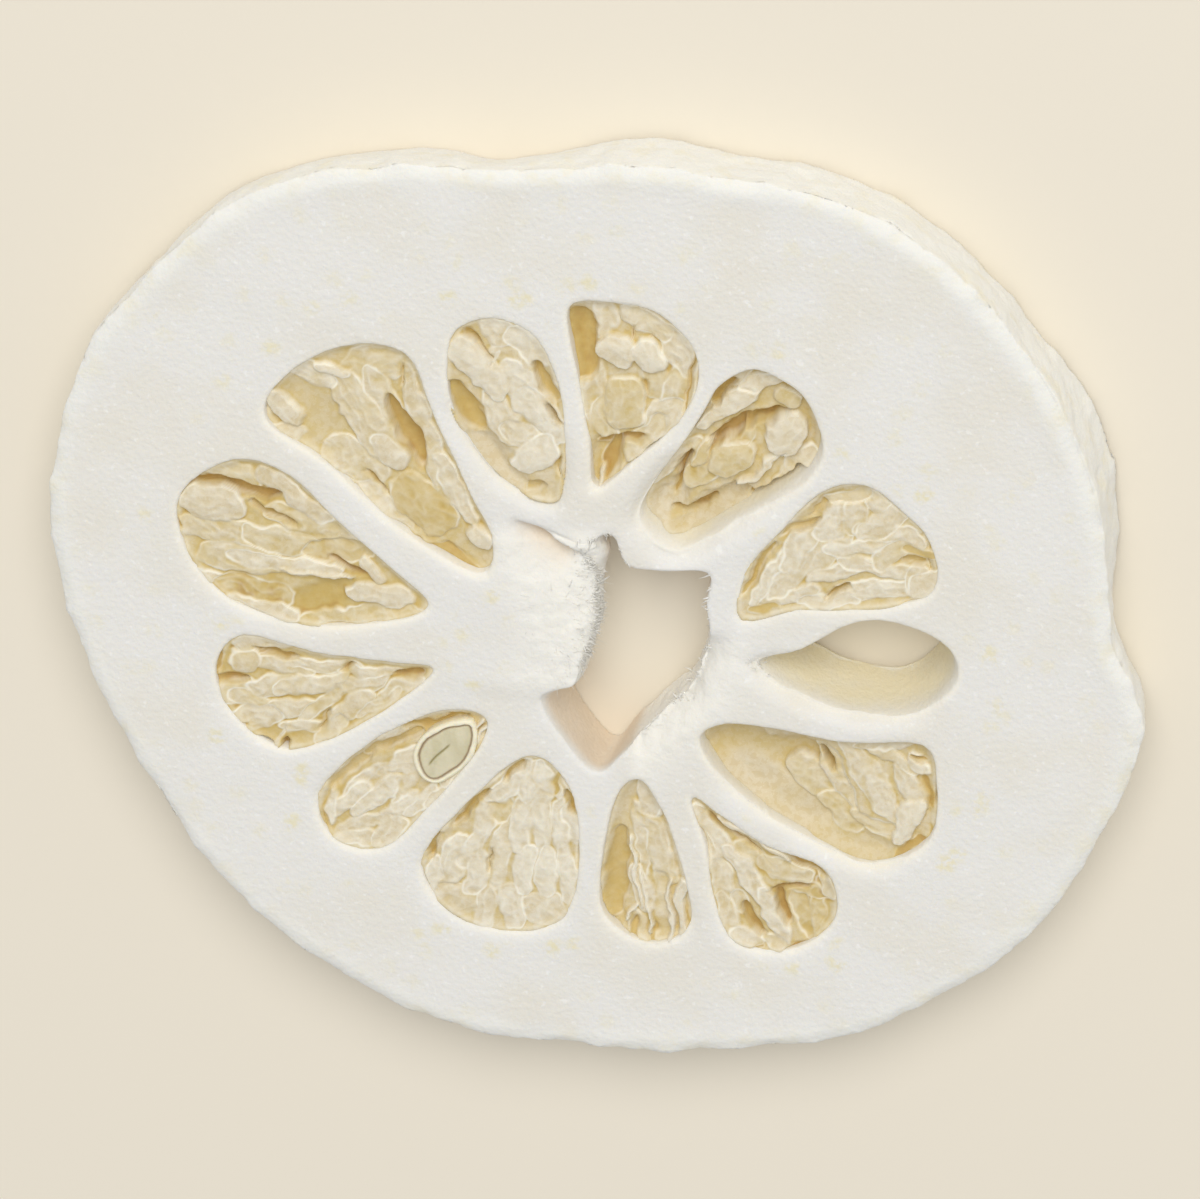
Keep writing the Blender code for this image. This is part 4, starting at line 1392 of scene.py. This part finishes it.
            # Painted highlight on the crests of the folds.
            ridge = np.maximum(ridge * (1 - own) + 0.5 * paper * folds * own, outline)
        height, width = self.crumple
        crumpled = grain.rough(points + 5.0, width, 3)
        depth -= height * papery * crumpled
        # Painted light and shade: raised crests paler, hollows browner.
        tone -= self.crumple_painted_light * papery * crumpled
        inside = self.pocket.depth_inside(points)
        loose = np.clip(1.5 * grain.at(points, 3.1) - 0.2, 0, 1) * papery
        depth -= self.climb * (papery - loose) * np.clip(depth - 0.2, 0, 0.45) * bump_at(inside, 0.4)
        depth += self.edge_gap * loose * bump_at(inside, self.edge_gap_width)
        depth -= (1 - papery) * np.clip(depth, 0, 1) * 0.6 * bump_at(inside, 0.6)
        # Painted shade in the crevice where the pulp pulls away from the wall.
        tone += 0.25 * loose * bump_at(inside, 1.6 * self.edge_gap_width)
        # Painted highlight: a pale band where the pulp meets the wall.
        wall_side = bump_at(inside - 0.16, 0.16) * papery * (0.4 + 0.6 * loose)
        ridge = np.maximum(ridge, wall_side) * (1 - 0.5 * np.clip(tone, 0, 1))
        return np.maximum(depth, self.least_depth), np.clip(tone, 0, 1), np.clip(ridge, 0, 1)

    @staticmethod
    def _folds(points: np.ndarray, bearing: float, grain: Grain, fine: Grain) -> np.ndarray:
        """Long crinkles that run along a sac, from 0 between them to 1 along their crests."""
        long_way = turned(points, bearing) / np.array([2.6, 1.0])
        return 0.65 * grain.creases(long_way, 0.8) + 0.35 * fine.creases(points, 0.9)


# ------------------------------------------------------------------------------------------- seed


@dataclass
class Seed:
    """The cut seed: a flat kernel in a thin brown skin, inside a cream coat that stands up round it."""

    coat: float = 0.34                # width of the coat, in mm
    skin: float = 0.17                # of the brown line inside it
    skin_depth: float = 0.10
    coat_height: float = 0.12
    swell: float = 0.07               # rise of the kernel's middle
    slit_from: tuple[float, float] = (-11.8, -12.9)
    slit_to: tuple[float, float] = (-10.1, -10.9)
    slit_width: float = 0.08
    slit_depth: float = 0.10
    coat_swell: float = 0.45          # how much the coat's width varies, as a share of it
    mesh_size: float = 0.07
    depth: float = 3.3                # of the seed below the face
    seed: int = 71

    def build(self) -> bpy.types.Object:
        """Models the piece that stands for the seed."""
        bm = merged(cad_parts["seed"])
        top = max(v.co.z for v in bm.verts)
        ring = [v.co.xy for v in bm.verts if v.co.z > top - MERGE]
        bm.free()
        middle = sum(ring, Vector((0.0, 0.0))) / len(ring)
        ring.sort(key=lambda at: math.atan2(at.y - middle.y, at.x - middle.x))
        line = np.array(ring) / MM
        outline = Outline(line, line)
        mesh, upper = grid_prism("seed_body", outline, 0.0, self.mesh_size)
        self._shape(mesh, upper, outline, top / MM)
        piece = new_object("seed_body", mesh)
        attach(piece, BODY)
        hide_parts("seed")
        return dressed(piece, SeedFinish().material())

    def _shape(self, mesh: bpy.types.Mesh, upper: np.ndarray, outline: Outline, top: float) -> None:
        """Raises the coat, sinks the skin's line and the slit, and rounds the seed's lower side."""
        points = coordinates(mesh)
        plan = points[:, :2]
        inside = np.maximum(outline.depth_inside(plan), 0.0)
        grain = Grain(self.seed)
        width = self.coat * (1 + self.coat_swell * grain.at(plan, 1.7))
        coat = step_between(inside, width + 0.05, width - 0.05)
        skin = bump_at(inside - width - self.skin / 2, self.skin / 2)
        kernel = step_between(inside, width + self.skin, width + 1.4)
        start, end = (np.array(at) + CORE for at in (self.slit_from, self.slit_to))
        run = end - start
        share = (plan - start) @ run / (run @ run)
        aside = (plan - start) @ np.array([-run[1], run[0]]) / np.linalg.norm(run)
        slit = step_between(np.abs(share - 0.5), 0.55, 0.35)
        slit *= bump_at(aside - 0.07 * np.sin(share * 5.0), self.slit_width)
        face = self.swell * kernel - self.skin_depth * skin - self.slit_depth * slit
        face += coat * self.coat_height * (1 + 0.7 * grain.at(plan, 0.9))
        face -= 0.12 * step_between(inside, 0.14, 0.0)
        share_in = np.clip(inside / inside.max(), 0, 1)
        belly = 0.4 + (self.depth - 0.4) * np.sqrt(1 - (1 - share_in) ** 2)
        points[:, 2] = np.where(upper, top + face, top - belly)
        set_coordinates(mesh, points)
        set_attributes(
            mesh, coat=np.where(upper, coat, 1.0), skin=upper * skin, slit=upper * slit,
        )


# ----------------------------------------------------------------------------------------- fibres


@dataclass(frozen=True)
class Tuft:
    """A stretch of the core where loose fibres stand, from one end to the other.

    start and end are in millimetres from the core's middle, spread is how far the fibres' feet stand
    from that line, and bearings are where they point at its two ends, in degrees from +X.
    """

    start: tuple[float, float]
    end: tuple[float, float]
    spread: float
    bearings: tuple[float, float]
    count: int
    length: float
    spikes: float                     # the share of them that are stout


TUFTS = (
    Tuft((0.6, 5.8), (1.6, 3.4), 0.35, (30.0, 12.0), 110, 0.60, 0.50),
    Tuft((1.6, 3.4), (1.4, -0.6), 0.35, (12.0, -5.0), 150, 0.60, 0.50),
    Tuft((1.4, -0.6), (0.1, -4.2), 0.35, (-5.0, -30.0), 130, 0.55, 0.50),
    Tuft((0.2, 4.6), (0.4, 0.0), 1.2, (35.0, 5.0), 60, 0.70, 0.10),
    Tuft((0.4, 0.0), (-1.4, -5.0), 1.2, (5.0, -40.0), 60, 0.70, 0.10),
    Tuft((-2.6, 3.2), (-2.8, -4.4), 1.8, (40.0, -50.0), 40, 0.60, 0.05),
    Tuft((0.4, 6.9), (2.9, 7.4), 0.3, (-80.0, -95.0), 16, 0.70, 1.0),
    Tuft((3.0, 7.0), (4.1, 4.9), 0.3, (-150.0, -130.0), 6, 0.40, 1.0),
    Tuft((10.0, 4.0), (9.8, 0.8), 0.3, (190.0, 175.0), 9, 0.70, 1.0),
    Tuft((9.9, -1.0), (8.6, -5.0), 0.35, (165.0, 140.0), 12, 0.60, 1.0),
    Tuft((8.6, -5.0), (6.2, -7.5), 0.9, (140.0, 130.0), 70, 0.65, 0.3),
    Tuft((6.2, -7.5), (4.0, -9.6), 0.7, (130.0, 130.0), 40, 0.50, 0.2),
    Tuft((12.4, -3.0), (14.2, -3.8), 0.7, (-20.0, -10.0), 24, 0.40, 0.2),
)


@dataclass
class CoreFibres:
    """The loose fibres of the torn core, each a thin tapered hair."""

    ground: bpy.types.Object
    hair: float = 0.06                # thickness of a fine hair at its foot, in mm
    spike: float = 0.28               # and of a stout one
    sides: int = 3
    joints: int = 3
    curl: float = 0.3
    sink: float = 0.06                # how deep a foot stands in the pith
    lowest: float = 0.3               # height above the floor under which none stand
    stray: float = 32.0               # how far their bearings stray, in degrees
    seed: int = 23

    def build(self) -> bpy.types.Object:
        """Models the one piece that holds all the fibres."""
        bm = bmesh.new()
        along = bm.verts.layers.float.new("along")
        bend = bm.verts.layers.float_vector.new("bend")
        for foot, lean, length, thickness, curl in self._roots():
            middle = Matrix.Translation((foot + lean * length / 2) * MM)
            made = bmesh.ops.create_cone(
                bm, cap_ends=True, segments=self.sides, radius1=thickness / 2 * MM,
                radius2=thickness / 9 * MM, depth=length * MM,
                matrix=middle @ lean.to_track_quat("Z", "Y").to_matrix().to_4x4(),
            )
            for v in made["verts"]:
                v[along] = (v.co / MM - foot).dot(lean) / length
                v[bend] = curl * length * MM
        sides = [e for e in bm.edges if abs(e.verts[0][along] - e.verts[1][along]) > 0.5]
        bmesh.ops.subdivide_edges(bm, edges=sides, cuts=self.joints - 1)
        for v in bm.verts:
            v.co += Vector(v[bend]) * v[along] ** 2
        piece = new_object("core_fibres", mesh_of("core_fibres", bm))
        set_attributes(piece.data, cotton=np.ones(len(piece.data.vertices)))
        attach(piece, BODY)
        return dressed(piece, self.ground.data.materials[0])

    def _roots(self) -> list[tuple[Vector, Vector, float, float, Vector]]:
        """Each hair's foot, heading, length and thickness, and how its tip is bent aside."""
        tree = BVHTree.FromObject(self.ground, bpy.context.evaluated_depsgraph_get())
        draw = np.random.default_rng(self.seed)
        roots = []
        for tuft in TUFTS:
            for _ in range(tuft.count):
                share = draw.random()
                foot = np.array(tuft.start) * (1 - share) + np.array(tuft.end) * share + CORE
                foot += draw.normal(0.0, tuft.spread / 2, 2)
                hit, normal, _, _ = tree.ray_cast(Vector((*foot * MM, 0.02)), Vector((0.0, 0.0, -1.0)))
                if hit is None or hit.z < self.lowest * MM:
                    continue
                bearing = tuft.bearings[0] * (1 - share) + tuft.bearings[1] * share
                angle = math.radians(bearing + draw.normal(0.0, self.stray))
                lean = Vector((math.cos(angle), math.sin(angle), 0.0)) + normal * draw.uniform(0.0, 0.4)
                stout = draw.random() < tuft.spikes
                length = tuft.length * draw.uniform(0.45, 1.35) * (0.75 if stout else 1.0)
                thickness = (self.spike if stout else self.hair) * draw.uniform(0.7, 1.2)
                curl = Vector(draw.normal(0.0, self.curl, 3))
                foot = hit / MM - normal * self.sink
                roots.append((foot, lean.normalized(), length, thickness, curl))
        return roots


# ------------------------------------------------------------------------------------------ studio


@dataclass
class Studio:
    """The floor, the soft light and the camera."""

    lens: float = 250.0               # mm
    sensor: float = 36.0              # mm
    view_width: float = 0.0885        # what the frame spans at the slice, in metres
    floor_size: float = 3.0           # metres
    floor_gap: float = 0.02           # below the slice, in mm
    key_power: float = 13.5
    key_size: float = 1.1             # metres
    key_distance: float = 1.5         # metres
    key_from: tuple[float, float, float] = (0.16, 0.62, 0.77)
    key_colour: tuple[float, float, float] = (1.0, 0.985, 0.955)
    fill: float = 0.53                # strength of the light from all round
    fill_colour: Colour = (0.98, 0.99, 1.0, 1.0)

    def build(self) -> None:
        """Sets up everything round the slice."""
        self._floor()
        self._world()
        self._key()
        self._camera()

    def _floor(self) -> None:
        """A plain sheet under the slice."""
        bm = bmesh.new()
        bmesh.ops.create_grid(bm, x_segments=2, y_segments=2, size=self.floor_size / 2)
        bmesh.ops.translate(bm, verts=bm.verts, vec=(0.0, 0.0, -self.floor_gap * MM))
        floor = dressed(new_object("floor", mesh_of("floor", bm)), FloorFinish().material())

    def _world(self) -> None:
        """Even, pale light from all round."""
        world = bpy.data.worlds.new("studio")
        world.use_nodes = True
        background = world.node_tree.nodes["Background"]
        background.inputs["Color"].default_value = self.fill_colour
        background.inputs["Strength"].default_value = self.fill
        bpy.context.scene.world = world

    def _key(self) -> None:
        """One big soft light, high on the camera's side."""
        data = bpy.data.lights.new("key", "AREA")
        data.shape = "DISK"
        data.size = self.key_size
        data.energy = self.key_power
        data.color = self.key_colour
        key = bpy.data.objects.new("key", data)
        bpy.context.scene.collection.objects.link(key)
        towards = Vector(self.key_from).normalized()
        key.location = towards * self.key_distance
        key.rotation_euler = towards.to_track_quat("Z", "Y").to_euler()

    def _camera(self) -> None:
        """A long lens, leaning to the slice's north, and turned so that north is up in the frame."""
        towards = Vector((*SIDE * math.sin(LOOK_TILT), math.cos(LOOK_TILT)))
        away = Vector((*SIDE * math.cos(LOOK_TILT), -math.sin(LOOK_TILT)))
        across = Vector((SIDE[1], -SIDE[0], 0.0))
        right = math.cos(LOOK_SIDE) * across + math.sin(LOOK_SIDE) * away
        up = towards.cross(right)
        data = bpy.data.cameras.new("camera")
        data.lens = self.lens
        data.sensor_width = self.sensor
        data.clip_start = 0.01
        camera = bpy.data.objects.new("camera", data)
        bpy.context.scene.collection.objects.link(camera)
        distance = self.view_width * self.lens / self.sensor
        middle = (Vector(CAD_BOX[0]) + Vector(CAD_BOX[1])) / 2
        pose = Matrix((right, up, towards)).transposed().to_4x4()
        pose.translation = middle + towards * distance
        camera.matrix_world = pose
        bpy.context.scene.camera = camera


def main() -> None:
    """Builds the slice piece by piece and the studio round it."""
    logging.basicConfig(level=logging.INFO, format="%(name)s: %(message)s")
    scene = bpy.context.scene
    scene.view_settings.view_transform = "Standard"
    Studio().build()
    outlines = Outlines(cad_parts["pith"])
    pieces = [Pith(outlines).build()]
    pulp = PulpFinish().material()
    for name, sacs in SACS.items():
        pocket = outlines.pocket_of(f"pulp_{name}")
        pieces.append(PulpBlock(name, pocket, sacs, pulp, SHADES.get(name, 0.0)).build())
    pieces.append(Seed().build())
    pieces.append(CoreFibres(pieces[0]).build())
    for piece in pieces:
        piece.data.calc_loop_triangles()
        log.info("%s: %d triangles", piece.name, len(piece.data.loop_triangles))


if __name__ == "__main__":
    main()
